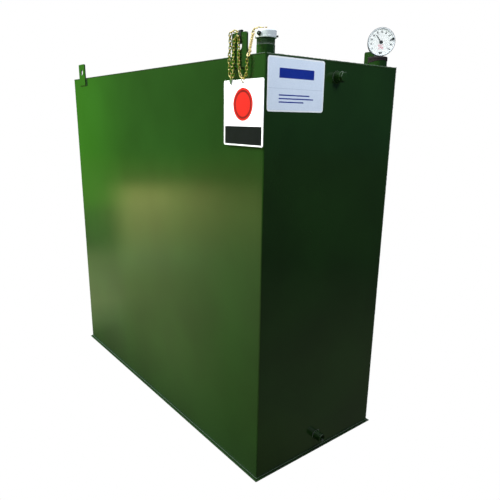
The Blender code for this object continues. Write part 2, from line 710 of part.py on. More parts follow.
def spare_chain(chain_front, chain_back):
    """Spare end: down the lug in a long loop, up beside it and over its top edge to the band's back."""
    y = FRONT_CHAIN_Y
    foot = Vector((0.6145, y, 1.3706))
    route = [(0.6462, chain_front, 1.4865), (0.6375, chain_front, 1.4860), (0.6300, -0.3182, 1.4790),
             (0.6270, y, 1.4650), (0.6250, y, 1.4500), (0.6235, y, 1.4350), (0.6240, y, 1.4200),
             (0.6205, y, 1.4050), (0.6210, y, 1.3920), (0.6225, y, 1.3800), (0.6190, y, 1.3728),
             tuple(foot), (0.6100, y, 1.3728), (0.6060, y, 1.3800), (0.6035, y, 1.3950), (0.6030, y, 1.4120),
             (0.6015, y, 1.4300), (0.6045, y, 1.4470), (0.6075, y, 1.4630), (0.6065, y, 1.4800),
             (0.6065, y, 1.4930), (0.6100, -0.3160, 1.5025), (0.6170, -0.3085, 1.5048),
             (0.6260, -0.3015, 1.5015), (0.6345, chain_back, 1.4950), (0.6462, chain_back, 1.4900)]
    tube("chain_spare_loop", smooth_path(route), CHAIN_RADIUS, brass("chain_spare_loop"))
    chain_end_clip(foot.x, foot.z - CHAIN_RADIUS + GAP / 2)


def chain():
    ring_wire = tag_ring()
    tie_side, tie_front, tie_back = lug_tie()
    chain_front = tie_front - GAP - CHAIN_RADIUS
    chain_back = tie_back + GAP + CHAIN_RADIUS
    cap_chain(ring_wire)
    tag_chain(ring_wire, chain_front)
    spare_chain(chain_front, chain_back)


def shade_round_pieces():
    for item in TANK.objects:
        if item.type == "MESH":
            item.data.shade_smooth()
            item.data.set_sharp_from_angle(angle=math.radians(35))


base_plate()
shell()
top_plate()
base_welds()
top_welds()
corner_welds()
lugs()
riser()
cap()
cap_fittings()
gauge_mounting()
gauge_head()
end_sockets()
plug()
tag_and_label()
chain()
shade_round_pieces()
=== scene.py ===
# %% [markdown]
# # A sheet steel fuel tank
# The real tank is a tall box of 3 mm mild steel. Two sheets are folded round opposite corners and welded
# to each other, to a base plate with a small lip, and to a top plate. Lugs, a fill pipe, a gauge and two
# sockets are welded on, and the whole thing is sprayed with gloss enamel. This script dresses the
# construction model of that tank: it keeps every size and place and adds the finish.

# %% Load the fixed frame
import json
import math

import bmesh
import bpy
from mathutils import Matrix, Vector, noise

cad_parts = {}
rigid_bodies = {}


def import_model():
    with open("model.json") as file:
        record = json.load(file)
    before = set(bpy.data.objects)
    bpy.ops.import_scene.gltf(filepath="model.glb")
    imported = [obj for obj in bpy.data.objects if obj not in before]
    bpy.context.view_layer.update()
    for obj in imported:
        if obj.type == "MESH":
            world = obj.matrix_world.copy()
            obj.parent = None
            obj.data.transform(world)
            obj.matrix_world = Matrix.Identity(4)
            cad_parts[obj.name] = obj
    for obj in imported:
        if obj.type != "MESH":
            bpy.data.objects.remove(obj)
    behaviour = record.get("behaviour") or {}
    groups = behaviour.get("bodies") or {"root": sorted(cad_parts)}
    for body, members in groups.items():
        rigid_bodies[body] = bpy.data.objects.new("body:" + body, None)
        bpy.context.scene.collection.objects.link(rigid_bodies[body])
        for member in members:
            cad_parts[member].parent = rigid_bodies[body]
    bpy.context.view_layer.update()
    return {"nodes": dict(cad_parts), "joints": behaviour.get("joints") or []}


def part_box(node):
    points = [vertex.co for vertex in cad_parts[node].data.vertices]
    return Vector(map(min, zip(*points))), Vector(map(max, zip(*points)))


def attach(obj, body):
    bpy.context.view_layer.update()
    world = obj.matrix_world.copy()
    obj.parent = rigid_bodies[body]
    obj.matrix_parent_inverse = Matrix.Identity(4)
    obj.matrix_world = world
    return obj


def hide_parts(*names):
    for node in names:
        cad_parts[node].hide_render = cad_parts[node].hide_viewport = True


for leftover in list(bpy.data.objects):
    bpy.data.objects.remove(leftover, do_unlink=True)

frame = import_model()
NODES = frame["nodes"]

# %% [markdown]
# ## Camera
# The tank is seen from a little below its top edge, turned so that the fold at the near corner comes
# towards the viewer. The camera's place, direction and focal length were worked out from the straight
# edges of the box. They are given here as plain values, with the focal length in pixels of the 500 pixel
# frame, because that is how such a fit is made.

# %% Camera
FRAME_PIXELS = 500
FOCAL_PIXELS = 496.8
CAMERA_PLACE = (1.916, -1.281, 1.2507)
CAMERA_AZIMUTH = 51.72
CAMERA_DROP = 15.31
CAMERA_ROLL = 0.78
OPTICAL_CENTRE = (245.3, 255.0)
SENSOR_WIDTH = 36.0
LENS = FOCAL_PIXELS / FRAME_PIXELS * SENSOR_WIDTH


def make_camera():
    data = bpy.data.cameras.new("camera")
    data.sensor_width = SENSOR_WIDTH
    data.lens = LENS
    data.shift_x = (FRAME_PIXELS / 2 - OPTICAL_CENTRE[0]) / FRAME_PIXELS
    data.shift_y = (OPTICAL_CENTRE[1] - FRAME_PIXELS / 2) / FRAME_PIXELS
    camera = bpy.data.objects.new("camera", data)
    bpy.context.scene.collection.objects.link(camera)
    heading = Matrix.Rotation(math.radians(CAMERA_AZIMUTH), 4, "Z")
    drop = Matrix.Rotation(math.radians(90 - CAMERA_DROP), 4, "X")
    roll = Matrix.Rotation(math.radians(CAMERA_ROLL), 4, "Z")
    camera.matrix_world = Matrix.Translation(CAMERA_PLACE) @ heading @ drop @ roll
    bpy.context.scene.camera = camera


make_camera()
print("lens", round(LENS, 2), "mm on a", SENSOR_WIDTH, "mm sensor")

# %% [markdown]
# ## Helpers for node trees
# Colours are picked as sRGB hex values, the way a paint chart gives them, and Blender's shaders want
# linear light, so one function turns the first into the second. Another adds a node, sets it up and links
# it in one call. Two more build the small groups of nodes that most finishes share: a colour or a value
# that drifts over the surface in blobs of a known size, and a relief of the same kind.


# %% Helpers for node trees
def linear(hex_colour):
    """Linear RGBA of an sRGB hex colour such as #2a641e."""
    values = []
    for start in (1, 3, 5):
        part = int(hex_colour[start:start + 2], 16) / 255
        values.append(part / 12.92 if part <= 0.04045 else ((part + 0.055) / 1.055) ** 2.4)
    return (*values, 1.0)


def set_inputs(tree, node, inputs):
    """Sets each input of a node, or links it where the value comes from another node."""
    for key, value in inputs.items():
        socket = node.inputs[key]
        if isinstance(value, bpy.types.NodeSocket):
            tree.links.new(value, socket)
        else:
            socket.default_value = value


def add_node(tree, kind, inputs=None, **settings):
    """Adds a node, sets its properties, and sets or links its inputs."""
    node = tree.nodes.new(kind)
    for key, value in settings.items():
        setattr(node, key, value)
    set_inputs(tree, node, inputs or {})
    return node


def start_material(name, fixed):
    """A new material, with constant values on its Principled shader's own sockets."""
    material = bpy.data.materials.new(name)
    material.use_nodes = True
    tree = material.node_tree
    shader = tree.nodes["Principled BSDF"]
    set_inputs(tree, shader, fixed)
    coords = add_node(tree, "ShaderNodeTexCoord").outputs["Object"]
    return material, tree, shader, coords


def drift(tree, coords, size_mm, detail, first, second, low=0.3, high=0.7):
    """Drifts between two colours or two values, in blobs of about so many millimetres."""
    blobs = add_node(tree, "ShaderNodeTexNoise", {
        "Vector": coords, "Scale": 1000 / size_mm, "Detail": detail}).outputs["Fac"]
    ranged = {"Value": blobs, "From Min": low, "From Max": high}
    if not isinstance(first, str):
        return add_node(tree, "ShaderNodeMapRange", {**ranged, "To Min": first, "To Max": second}).outputs[0]
    share = add_node(tree, "ShaderNodeMapRange", ranged).outputs[0]
    return add_node(tree, "ShaderNodeMix", {
        0: share, 6: linear(first), 7: linear(second)}, data_type="RGBA").outputs[2]


def relief(tree, coords, size_mm, detail, depth_mm, strength=0.5):
    """Low swellings in the surface, each about so many millimetres across."""
    blobs = add_node(tree, "ShaderNodeTexNoise", {
        "Vector": coords, "Scale": 1000 / size_mm, "Detail": detail}).outputs["Fac"]
    return add_node(tree, "ShaderNodeBump", {
        "Height": blobs, "Distance": depth_mm / 1000, "Strength": strength}).outputs[0]


# %% [markdown]
# ## Gloss enamel on mild steel
# The shell is sprayed with a synthetic gloss enamel. Such a film levels well but keeps a fine orange peel
# of a few millimetres. The pigment is a very dark green, so nearly half of what the eye takes for the
# colour of a panel is its surroundings, mirrored in the film. Paint is a dielectric of IOR 1.5, and a
# roughness of 0.13 blurs that mirror image into soft fields.

# %% Enamel
ENAMEL_GREEN = "#1c3815"
ENAMEL_DEEP = "#182f12"
CLOUD_MM = 340
HAZE_MM = 120
ORANGE_PEEL_MM = 5
PEEL_DEPTH_MM = 0.03


def gloss_enamel():
    """Dark green gloss: slow clouds in the colour, a haze in the gloss, and a fine orange peel."""
    material, tree, shader, coords = start_material("green_gloss_enamel", {"IOR": 1.5})
    set_inputs(tree, shader, {
        "Base Color": drift(tree, coords, CLOUD_MM, 3, ENAMEL_DEEP, ENAMEL_GREEN, 0.35, 0.65),
        "Roughness": drift(tree, coords, HAZE_MM, 4, 0.12, 0.15),
        "Normal": relief(tree, coords, ORANGE_PEEL_MM, 2, PEEL_DEPTH_MM, 0.6)})
    return material


enamel = gloss_enamel()
print("enamel", ENAMEL_GREEN, "orange peel", ORANGE_PEEL_MM, "mm")

# %% [markdown]
# ## The other finishes
# The cap is die-cast aluminium, a little grainy, and pale with dry oxide. The chain is brass-plated steel,
# with dark patches of a few millimetres at random. The clip is bright zinc. The tie, knob and lock screw are
# black moulded nylon. The dial, tag and sticker are printed plastics: the base is smooth, and the ink lies
# on it as a thin film of its own.


# %% Metals
def cast_aluminium():
    """Its dry white oxide scatters light as chalk does, so it is only in part a mirror."""
    material, tree, shader, coords = start_material("cast_aluminium", {"Metallic": 0.55})
    sand_mm = 0.8
    set_inputs(tree, shader, {
        "Base Color": drift(tree, coords, sand_mm, 4, "#cfd2d8", "#f2f4f8", 0, 1),
        "Roughness": drift(tree, coords, 9, 3, 0.48, 0.62),
        "Normal": relief(tree, coords, sand_mm, 4, 0.06)})
    return material


def plated_brass():
    """Bright plating that has turned darker in places, with darker patches of a few millimetres at random.
    """
    material, tree, shader, coords = start_material("plated_brass", {"Metallic": 1.0})
    stain_mm = 16
    tone = drift(tree, coords, stain_mm, 4, "#f6e2a6", "#cfae62", 0.35, 0.7)
    # Dark patches about 4 mm across, laid at random over the links, not where they touch.
    dark_patches = drift(tree, coords, 4, 3, 0, 0.65, 0.48, 0.62)
    patched = add_node(tree, "ShaderNodeMix", {0: dark_patches, 6: tone, 7: linear("#503e1c")}, data_type="RGBA")
    set_inputs(tree, shader, {
        "Base Color": patched.outputs[2],
        "Roughness": drift(tree, coords, stain_mm, 4, 0.2, 0.34, 0.35, 0.7)})
    return material


def bright_zinc():
    """Thin bright plating over drawn wire, mottled at a millimetre or two."""
    material, tree, shader, coords = start_material("bright_zinc", {"Metallic": 1.0})
    mottle_mm = 1.5
    set_inputs(tree, shader, {
        "Base Color": drift(tree, coords, mottle_mm, 3, "#8f9399", "#c3c6ca", 0, 1),
        "Roughness": drift(tree, coords, mottle_mm, 3, 0.25, 0.4)})
    return material


aluminium = cast_aluminium()
brass = plated_brass()
zinc = bright_zinc()
print("metals", aluminium.name, brass.name, zinc.name)

# %% Plastics and ink
MOULD_CLOUD_MM = 25


def moulded_plastic(name, colour, shade, rough=0.4, grain_mm=0.8, depth_mm=0.02, ior=1.5):
    """Faintly clouded, with the fine grain that the mould leaves. Ink is a matt film with a low IOR."""
    material, tree, shader, coords = start_material(name, {"IOR": ior})
    set_inputs(tree, shader, {
        "Base Color": drift(tree, coords, MOULD_CLOUD_MM, 3, colour, shade, 0, 1),
        "Roughness": drift(tree, coords, grain_mm, 2, rough - 0.06, rough + 0.06),
        "Normal": relief(tree, coords, grain_mm, 2, depth_mm)})
    return material


def clear_lens():
    """A thin flat window: nearly nothing from the front; from the side its pale base shows, a painted shine
    beside the shader's own reflection.
    """
    material, tree, shader, coords = start_material("clear_acrylic", {
        "IOR": 1.49, "Base Color": linear("#eef5f7")})
    facing = add_node(tree, "ShaderNodeLayerWeight", {"Blend": 0.4}).outputs["Facing"]
    painted_sheen = add_node(tree, "ShaderNodeMapRange", {
        "Value": facing, "From Min": 0.2, "From Max": 1.0, "To Min": 0.02, "To Max": 0.5}).outputs[0]
    set_inputs(tree, shader, {"Alpha": painted_sheen, "Roughness": drift(tree, coords, 18, 3, 0.03, 0.09)})
    return material


black_nylon = moulded_plastic("black_nylon", "#131416", "#1d1e21", 0.42)
brown_rubber = moulded_plastic("brown_rubber", "#171112", "#231c1d", 0.6, 1.2, 0.05, 1.3)
dial_white = moulded_plastic("dial_white_enamel", "#f7fbfc", "#f1f6f8", 0.3)
gauge_grey = moulded_plastic("gauge_grey_abs", "#d4d8da", "#c2c6c9", 0.32)
# Dark grey for the housing, its neck and the bezel's edge: painted shade, the shaded outline of the gauge.
gauge_painted_shade = moulded_plastic("gauge_painted_shade_abs", "#3c4043", "#4a4e51", 0.4)
tag_white = moulded_plastic("tag_white_pvc", "#f9fafa", "#f3f4f4", 0.26, 3)
ink_black = moulded_plastic("ink_black", "#0c0d0f", "#151619", 0.5, ior=1.2)
ink_grey = moulded_plastic("ink_grey", "#2c3034", "#3a3e42", ior=1.3)
ink_red = moulded_plastic("ink_red", "#c4241e", "#bb1f1b", ior=1.3)
ink_dark_red = moulded_plastic("ink_dark_red", "#7c1517", "#6c1214", ior=1.3)
ink_pink = moulded_plastic("ink_pink", "#e9b9c4", "#e0acb8", ior=1.3)
ink_blue = moulded_plastic("ink_blue", "#17349a", "#122c88", 0.3)
vinyl_border = moulded_plastic("vinyl_border", "#f8fbfd", "#f2f6f9", 0.25, 2, 0.01)
vinyl_blue = moulded_plastic("vinyl_pale_blue", "#e6f0fe", "#dce8f8", 0.28, 2, 0.01)
# A darker tone for the crease line: painted shade of its fold.
vinyl_crease_shade = moulded_plastic("vinyl_crease_shade", "#c2cfe2", "#cbd7e8", 0.3, 2, 0.01)
lens_clear = clear_lens()
print("materials", len(bpy.data.materials))

# %% [markdown]
# ## Helpers for meshes
# Each finished piece keeps its object at the origin and its place in its mesh, like the frame's own nodes.
# A turned piece is a short outline spun round an axis. A flat plate is an outline drawn as a curve: its
# extrusion gives the thickness, and a small bevel depth with an equal inward offset rounds every edge,
# those of the holes as well. Touching pieces keep a gap of 0.3 mm.

# %% Helpers for meshes
GAP = 0.0003
PAINT_ROUND = 0.0006
SMALL_ROUND = 0.0003
FINE_ROUND = 0.0001
ROUND_NEEDS_STEPS = 0.00025
SPIN_MERGE = 0.00001
PLATE_MERGE = 0.00002


def loose_object(name, data):
    item = bpy.data.objects.new(name, data)
    bpy.context.scene.collection.objects.link(item)
    return item


def finish_mesh(name, mesh, material, matrix=None, sharp=25):
    """Makes a mesh a named object at the origin, smooth except at its sharp edges."""
    if matrix is not None:
        mesh.transform(matrix)
    mesh.materials.clear()
    mesh.materials.append(material)
    mesh.shade_smooth()
    mesh.set_sharp_from_angle(angle=math.radians(sharp))
    return loose_object(name, mesh)


def mesh_from(name, work):
    """The mesh of a bmesh, which is then freed."""
    mesh = bpy.data.meshes.new(name)
    work.to_mesh(mesh)
    work.free()
    return mesh


def plain_mesh(name, source):
    """The evaluated shape of an object as a mesh of its own. The object is removed."""
    view = bpy.context.evaluated_depsgraph_get()
    mesh = bpy.data.meshes.new_from_object(source.evaluated_get(view))
    mesh.name = name
    bpy.data.objects.remove(source, do_unlink=True)
    return mesh


def weld_doubles(mesh, distance=PLATE_MERGE):
    work = bmesh.new()
    work.from_mesh(mesh)
    bmesh.ops.remove_doubles(work, verts=work.verts, dist=distance)
    bmesh.ops.recalc_face_normals(work, faces=work.faces)
    work.to_mesh(mesh)
    work.free()


def spun(name, profile, material, matrix=None, steps=64):
    """An outline of (radius, height) points spun round Z. One that doesn't start on the axis is a ring."""
    work = bmesh.new()
    verts = [work.verts.new((radius, 0, height)) for radius, height in profile]
    edges = [work.edges.new(pair) for pair in zip(verts, verts[1:])]
    if profile[0][0] > 0:
        edges.append(work.edges.new((verts[-1], verts[0])))
    bmesh.ops.spin(work, geom=verts + edges, cent=(0, 0, 0), axis=(0, 0, 1), angle=math.tau, steps=steps)
    bmesh.ops.remove_doubles(work, verts=work.verts, dist=SPIN_MERGE)
    bmesh.ops.recalc_face_normals(work, faces=work.faces)
    return finish_mesh(name, mesh_from(name, work), material, matrix)


def arc(centre, radius, start, end, steps=8):
    """Points along an arc, its angles in degrees."""
    points = []
    for i in range(steps + 1):
        angle = math.radians(start + (end - start) * i / steps)
        points.append((centre[0] + radius * math.cos(angle), centre[1] + radius * math.sin(angle)))
    return points


def circle(centre, radius, steps=40):
    """A round hole's outline, which runs the other way round from an outer edge."""
    return arc(centre, radius, 360, 0, steps)[:-1]


def rounded_box(low, high, radius, steps=8, square_foot=False):
    """Outline of a rectangle with round corners, or with round corners at its top only."""
    left, right = low[0] + radius, high[0] - radius
    bottom, top = low[1] + radius, high[1] - radius
    foot = [(low[0], low[1]), (high[0], low[1])]
    if not square_foot:
        foot = arc((left, bottom), radius, 180, 270, steps) + arc((right, bottom), radius, 270, 360, steps)
    return foot + arc((right, top), radius, 0, 90, steps) + arc((left, top), radius, 90, 180, steps)


def flat_plate(name, outlines, thickness, edge, material, matrix):
    """A plate from closed outlines, the later ones its holes, with its edges rounded by a small radius."""
    curve = bpy.data.curves.new(name, "CURVE")
    curve.dimensions = "2D"
    curve.fill_mode = "BOTH"
    curve.extrude = thickness / 2 - edge
    curve.bevel_depth = edge
    curve.bevel_resolution = 2 if edge > ROUND_NEEDS_STEPS else 0
    curve.offset = -edge
    for outline in outlines:
        spline = curve.splines.new("POLY")
        spline.points.add(len(outline) - 1)
        for point, (x, y) in zip(spline.points, outline):
            point.co = (x, y, 0, 1)
        spline.use_cyclic_u = True
    mesh = plain_mesh(name, loose_object(name, curve))
    weld_doubles(mesh)
    return finish_mesh(name, mesh, material, matrix, sharp=12)


def axes(origin, x_axis, y_axis):
    """Matrix with its X and Y axes along the given directions."""
    x_axis = Vector(x_axis).normalized()
    y_axis = Vector(y_axis).normalized()
    matrix = Matrix((x_axis, y_axis, x_axis.cross(y_axis))).transposed().to_4x4()
    matrix.translation = Vector(origin)
    return matrix


def raised(height):
    """Matrix of a step along Z."""
    return Matrix.Translation((0, 0, height))


def joined(name, pieces):
    """One object from several of one finish, in the order given."""
    work = bmesh.new()
    for piece in pieces:
        work.from_mesh(piece.data)
    material = pieces[0].data.materials[0]
    for piece in pieces:
        bpy.data.objects.remove(piece, do_unlink=True)
    return finish_mesh(name, mesh_from(name, work), material)


def fit(piece, slot, *nodes, body="tank"):
    """The piece rides on its body and the nodes it replaces are hidden. The slot is not used."""
    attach(piece, body)
    if nodes:
        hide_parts(*nodes)
    return piece


def in_mm(piece):
    """A piece's size, for printing."""
    return [round(side * 1000, 1) for side in piece.dimensions]


GREEN = "green_gloss_paint"
BLACK = "black_fittings"
BRASS = "brass_chain"

# %% [markdown]
# ## Geometry Nodes trees
# Four things on this tank repeat: the ripples of a weld bead, the links of a chain, the turns of a thread
# and the marks of a dial. Each is grown by a small tree from a path or a circle. The tree's inputs are
# real sizes, and it ends with Realize Instances and Set Material, so the result is an ordinary mesh.


# %% Start a tree and use it
def start_tree(name, sockets):
    tree = bpy.data.node_groups.new(name, "GeometryNodeTree")
    tree.interface.new_socket(name="Path", in_out="INPUT", socket_type="NodeSocketGeometry")
    for socket_name, kind in sockets:
        tree.interface.new_socket(name=socket_name, in_out="INPUT", socket_type="NodeSocket" + kind)
    tree.interface.new_socket(name="Finish", in_out="INPUT", socket_type="NodeSocketMaterial")
    tree.interface.new_socket(name="Shape", in_out="OUTPUT", socket_type="NodeSocketGeometry")
    return tree, add_node(tree, "NodeGroupInput").outputs


def end_tree(tree, shape, finish):
    real = add_node(tree, "GeometryNodeRealizeInstances", {"Geometry": shape}).outputs[0]
    smooth = add_node(tree, "GeometryNodeSetShadeSmooth", {"Geometry": real}).outputs[0]
    painted = add_node(tree, "GeometryNodeSetMaterial", {"Geometry": smooth, "Material": finish}).outputs[0]
    add_node(tree, "NodeGroupOutput", {"Shape": painted})


def path_curve(name, points, cyclic=False):
    curve = bpy.data.curves.new(name, "CURVE")
    curve.dimensions = "3D"
    spline = curve.splines.new("POLY")
    spline.points.add(len(points) - 1)
    for spot, point in zip(spline.points, points):
        spot.co = (*point, 1)
    spline.use_cyclic_u = cyclic
    return curve


def grow(name, data, tree, values, material, matrix=None):
    """Runs a tree on a path or an empty mesh and keeps the plain mesh that it makes."""
    source = loose_object(name, data)
    modifier = source.modifiers.new("Grow", "NODES")
    modifier.node_group = tree
    settings = {**values, "Finish": material}
    for item in tree.interface.items_tree:
        if item.item_type == "SOCKET" and item.in_out == "INPUT" and item.name in settings:
            modifier[item.identifier] = settings[item.name]
    return finish_mesh(name, plain_mesh(name, source), material, matrix, sharp=40)


# %% Weld bead tree
def weld_bead_tree():
    """Overlapping coins of weld metal along a path, each leaning the way the torch was held."""
    tree, given = start_tree("weld_bead", [
        ("Ripple Pitch", "Float"), ("Bead Radius", "Float"), ("Lean", "Float"), ("Seed", "Int")])
    spots = add_node(tree, "GeometryNodeResampleCurve", {
        "Curve": given["Path"], "Length": given["Ripple Pitch"]}, mode="LENGTH").outputs[0]
    ball = add_node(tree, "GeometryNodeMeshUVSphere", {
        "Segments": 8, "Rings": 6, "Radius": given["Bead Radius"]}).outputs["Mesh"]
    coin = add_node(tree, "GeometryNodeTransform", {"Geometry": ball, "Scale": (1, 1, 0.62)}).outputs[0]
    along = add_node(tree, "GeometryNodeInputTangent").outputs[0]
    turned = add_node(tree, "FunctionNodeAlignRotationToVector", {"Vector": along}, axis="Z").outputs[0]
    tilt = add_node(tree, "ShaderNodeCombineXYZ", {"X": given["Lean"]}).outputs[0]
    tilt = add_node(tree, "FunctionNodeEulerToRotation", {0: tilt}).outputs[0]
    leaning = add_node(tree, "FunctionNodeRotateRotation", {0: turned, 1: tilt}, rotation_space="LOCAL")
    uneven = add_node(tree, "FunctionNodeRandomValue", {
        2: 0.88, 3: 1.1, "Seed": given["Seed"]}, data_type="FLOAT")
    coins = add_node(tree, "GeometryNodeInstanceOnPoints", {
        "Points": spots, "Instance": coin, "Rotation": leaning.outputs[0], "Scale": uneven.outputs[1]})
    end_tree(tree, coins.outputs[0], given["Finish"])
    return tree


BEADS = weld_bead_tree()
print("tree", BEADS.name, len(BEADS.nodes), "nodes")


# %% Chain tree
def oval_chain_tree():
    """Oval wire links along a path, each turned a quarter from the one before."""
    tree, given = start_tree("oval_chain", [
        ("Link Count", "Int"), ("Link Length", "Float"), ("Link Width", "Float"), ("Wire Radius", "Float"),
        ("First Turn", "Float")])
    margin = add_node(tree, "ShaderNodeMath", {
        0: 0.5, 1: given["Link Count"]}, operation="DIVIDE").outputs[0]
    rest = add_node(tree, "ShaderNodeMath", {0: 1.0, 1: margin}, operation="SUBTRACT").outputs[0]
    middle = add_node(tree, "GeometryNodeTrimCurve", {
        "Curve": given["Path"], "Start": margin, "End": rest}, mode="FACTOR").outputs[0]
    spots = add_node(tree, "GeometryNodeResampleCurve", {
        "Curve": middle, "Count": given["Link Count"]}, mode="COUNT").outputs[0]
    half = add_node(tree, "ShaderNodeMath", {
        0: given["Link Width"], 1: 0.5}, operation="MULTIPLY").outputs[0]
    bend = add_node(tree, "ShaderNodeMath", {
        0: half, 1: given["Wire Radius"]}, operation="SUBTRACT").outputs[0]
    ring = add_node(tree, "GeometryNodeCurvePrimitiveCircle", {"Resolution": 20, "Radius": bend}).outputs[0]
    place = add_node(tree, "GeometryNodeInputPosition").outputs[0]
    across = add_node(tree, "ShaderNodeSeparateXYZ", {0: place}).outputs["X"]
    side = add_node(tree, "ShaderNodeMath", {0: across}, operation="SIGN").outputs[0]
    spare = add_node(tree, "ShaderNodeMath", {
        0: given["Link Length"], 1: given["Link Width"]}, operation="SUBTRACT").outputs[0]
    stretch = add_node(tree, "ShaderNodeMath", {0: spare, 1: side}, operation="MULTIPLY").outputs[0]
    shift = add_node(tree, "ShaderNodeMath", {0: stretch, 1: 0.5}, operation="MULTIPLY").outputs[0]
    offset = add_node(tree, "ShaderNodeCombineXYZ", {"X": shift}).outputs[0]
    oval = add_node(tree, "GeometryNodeSetPosition", {"Geometry": ring, "Offset": offset}).outputs[0]
    wire = add_node(tree, "GeometryNodeCurvePrimitiveCircle", {
        "Resolution": 8, "Radius": given["Wire Radius"]}).outputs[0]
    link = add_node(tree, "GeometryNodeCurveToMesh", {"Curve": oval, "Profile Curve": wire}).outputs[0]
    along = add_node(tree, "GeometryNodeInputTangent").outputs[0]
    turned = add_node(tree, "FunctionNodeAlignRotationToVector", {"Vector": along}, axis="X").outputs[0]
    number = add_node(tree, "GeometryNodeInputIndex").outputs[0]
    quarter = add_node(tree, "ShaderNodeMath", {
        0: number, 1: math.pi / 2, 2: given["First Turn"]}, operation="MULTIPLY_ADD").outputs[0]
    roll = add_node(tree, "ShaderNodeCombineXYZ", {"X": quarter}).outputs[0]
    roll = add_node(tree, "FunctionNodeEulerToRotation", {0: roll}).outputs[0]
    rolled = add_node(tree, "FunctionNodeRotateRotation", {
        0: turned, 1: roll}, rotation_space="LOCAL").outputs[0]
    links = add_node(tree, "GeometryNodeInstanceOnPoints", {
        "Points": spots, "Instance": link, "Rotation": rolled}).outputs[0]
    end_tree(tree, links, given["Finish"])
    return tree


CHAIN = oval_chain_tree()
print("tree", CHAIN.name, len(CHAIN.nodes), "nodes")


# %% Thread and dial mark trees
def screw_thread_tree():
    """A ridge that winds up a cylinder."""
    tree, given = start_tree("screw_thread", [
        ("Thread Radius", "Float"), ("Turns", "Float"), ("Height", "Float"), ("Ridge", "Float")])
    helix = add_node(tree, "GeometryNodeCurveSpiral", {
        "Resolution": 48, "Rotations": given["Turns"], "Start Radius": given["Thread Radius"],
        "End Radius": given["Thread Radius"], "Height": given["Height"]}).outputs[0]
    ridge = add_node(tree, "GeometryNodeCurvePrimitiveCircle", {
        "Resolution": 6, "Radius": given["Ridge"]}).outputs[0]
    shape = add_node(tree, "GeometryNodeCurveToMesh", {
        "Curve": helix, "Profile Curve": ridge, "Fill Caps": True}).outputs[0]
    end_tree(tree, shape, given["Finish"])
    return tree


def dial_mark_tree():
    """Small flat bars along an arc, each pointing at its centre."""
    tree, given = start_tree("dial_marks", [
        ("Count", "Int"), ("Ring Radius", "Float"), ("First Angle", "Float"), ("Sweep", "Float"),
        ("Mark Size", "Vector")])
    ring = add_node(tree, "GeometryNodeCurveArc", {
        "Resolution": given["Count"], "Radius": given["Ring Radius"], "Start Angle": given["First Angle"],
        "Sweep Angle": given["Sweep"]}).outputs[0]
    bar = add_node(tree, "GeometryNodeMeshCube", {"Size": given["Mark Size"]}).outputs[0]
    place = add_node(tree, "GeometryNodeInputPosition").outputs[0]
    outwards = add_node(tree, "FunctionNodeAlignRotationToVector", {"Vector": place}, axis="X").outputs[0]
    marks = add_node(tree, "GeometryNodeInstanceOnPoints", {
        "Points": ring, "Instance": bar, "Rotation": outwards}).outputs[0]
    end_tree(tree, marks, given["Finish"])
    return tree


THREAD = screw_thread_tree()
MARKS = dial_mark_tree()
print("trees", THREAD.name, MARKS.name)

# %% [markdown]
# ## The two folded sheets
# Each sheet is one long side and one end in a single piece, bent round a 6 mm fold. Welding pulls such a
# panel, so it is bowed by a millimetre or two, which shows only in its reflections. A truly flat face
# would mirror the room like glass. So the sheet is a grid that follows the plan, pushed in and out by
# slow noise that dies away at its edges, and Solidify gives the grid its 3 mm. The rear sheet is the
# same shape turned half way round.

# %% Folded sheets
SHEET = 0.003
FOLD_RADIUS = 0.006
GRID_STEP = 0.03
PANEL_BOW = 0.0016
BOW_SIZE = 0.55
MEAN_BOW = 0.35


def evenly(start, end, step):
    """Evenly spaced values from start to end, about a step apart."""
    count = max(1, round(abs(end - start) / step))
    return [start + (end - start) * i / count for i in range(count + 1)]


def share_of(value, start, end):
    return (value - start) / (end - start)


def shell_columns(low, high):
    """The sheet's outer face in plan: place, outward direction, and share of the way along its panel."""
    fold = high.x - FOLD_RADIUS
    turn = low.y + FOLD_RADIUS
    columns = [((x, low.y), (0, -1), share_of(x, low.x, fold)) for x in evenly(low.x, fold, GRID_STEP)]
    for spot in arc((fold, turn), FOLD_RADIUS, 270, 360)[1:-1]:
        outwards = Vector((spot[0] - fold, spot[1] - turn)).normalized()
        columns.append((spot, tuple(outwards), 0))
    columns += [((high.x, y), (1, 0), share_of(y, turn, high.y)) for y in evenly(turn, high.y, GRID_STEP)]
    return columns


def bow_at(place, z, along, up, seed):
    """How far the welds have pushed the panel out. It is nothing at the panel's edges."""
    calm = 4 * along * (1 - along) * 4 * up * (1 - up)
    wave = noise.noise(Vector((place[0] / BOW_SIZE + seed, place[1] / BOW_SIZE, z / BOW_SIZE)))
    return PANEL_BOW * calm * (wave + MEAN_BOW)


def folded_sheet(name, low, high, seed, holes=(), matrix=None):
    work = bmesh.new()
    rows = evenly(low.z, high.z, GRID_STEP)
    grid = []
    for place, outwards, along in shell_columns(low, high):
        column = []
        for z in rows:
            push = bow_at(place, z, along, share_of(z, low.z, high.z), seed)
            column.append(work.verts.new((place[0] + outwards[0] * push, place[1] + outwards[1] * push, z)))
        grid.append(column)
    for left, right in zip(grid, grid[1:]):
        for i in range(len(rows) - 1):
            work.faces.new((left[i], right[i], right[i + 1], left[i + 1]))
    sheet = loose_object(name, mesh_from(name, work))
    solid = sheet.modifiers.new("Sheet", "SOLIDIFY")
    solid.thickness = SHEET
    solid.offset = -1
    solid.use_even_offset = True
    for cutter in holes:
        cut = sheet.modifiers.new("Hole", "BOOLEAN")
        cut.operation = "DIFFERENCE"
        cut.solver = "EXACT"
        cut.object = cutter
    mesh = plain_mesh(name, sheet)
    for cutter in holes:
        bpy.data.objects.remove(cutter, do_unlink=True)
    return finish_mesh(name, mesh, enamel, matrix)


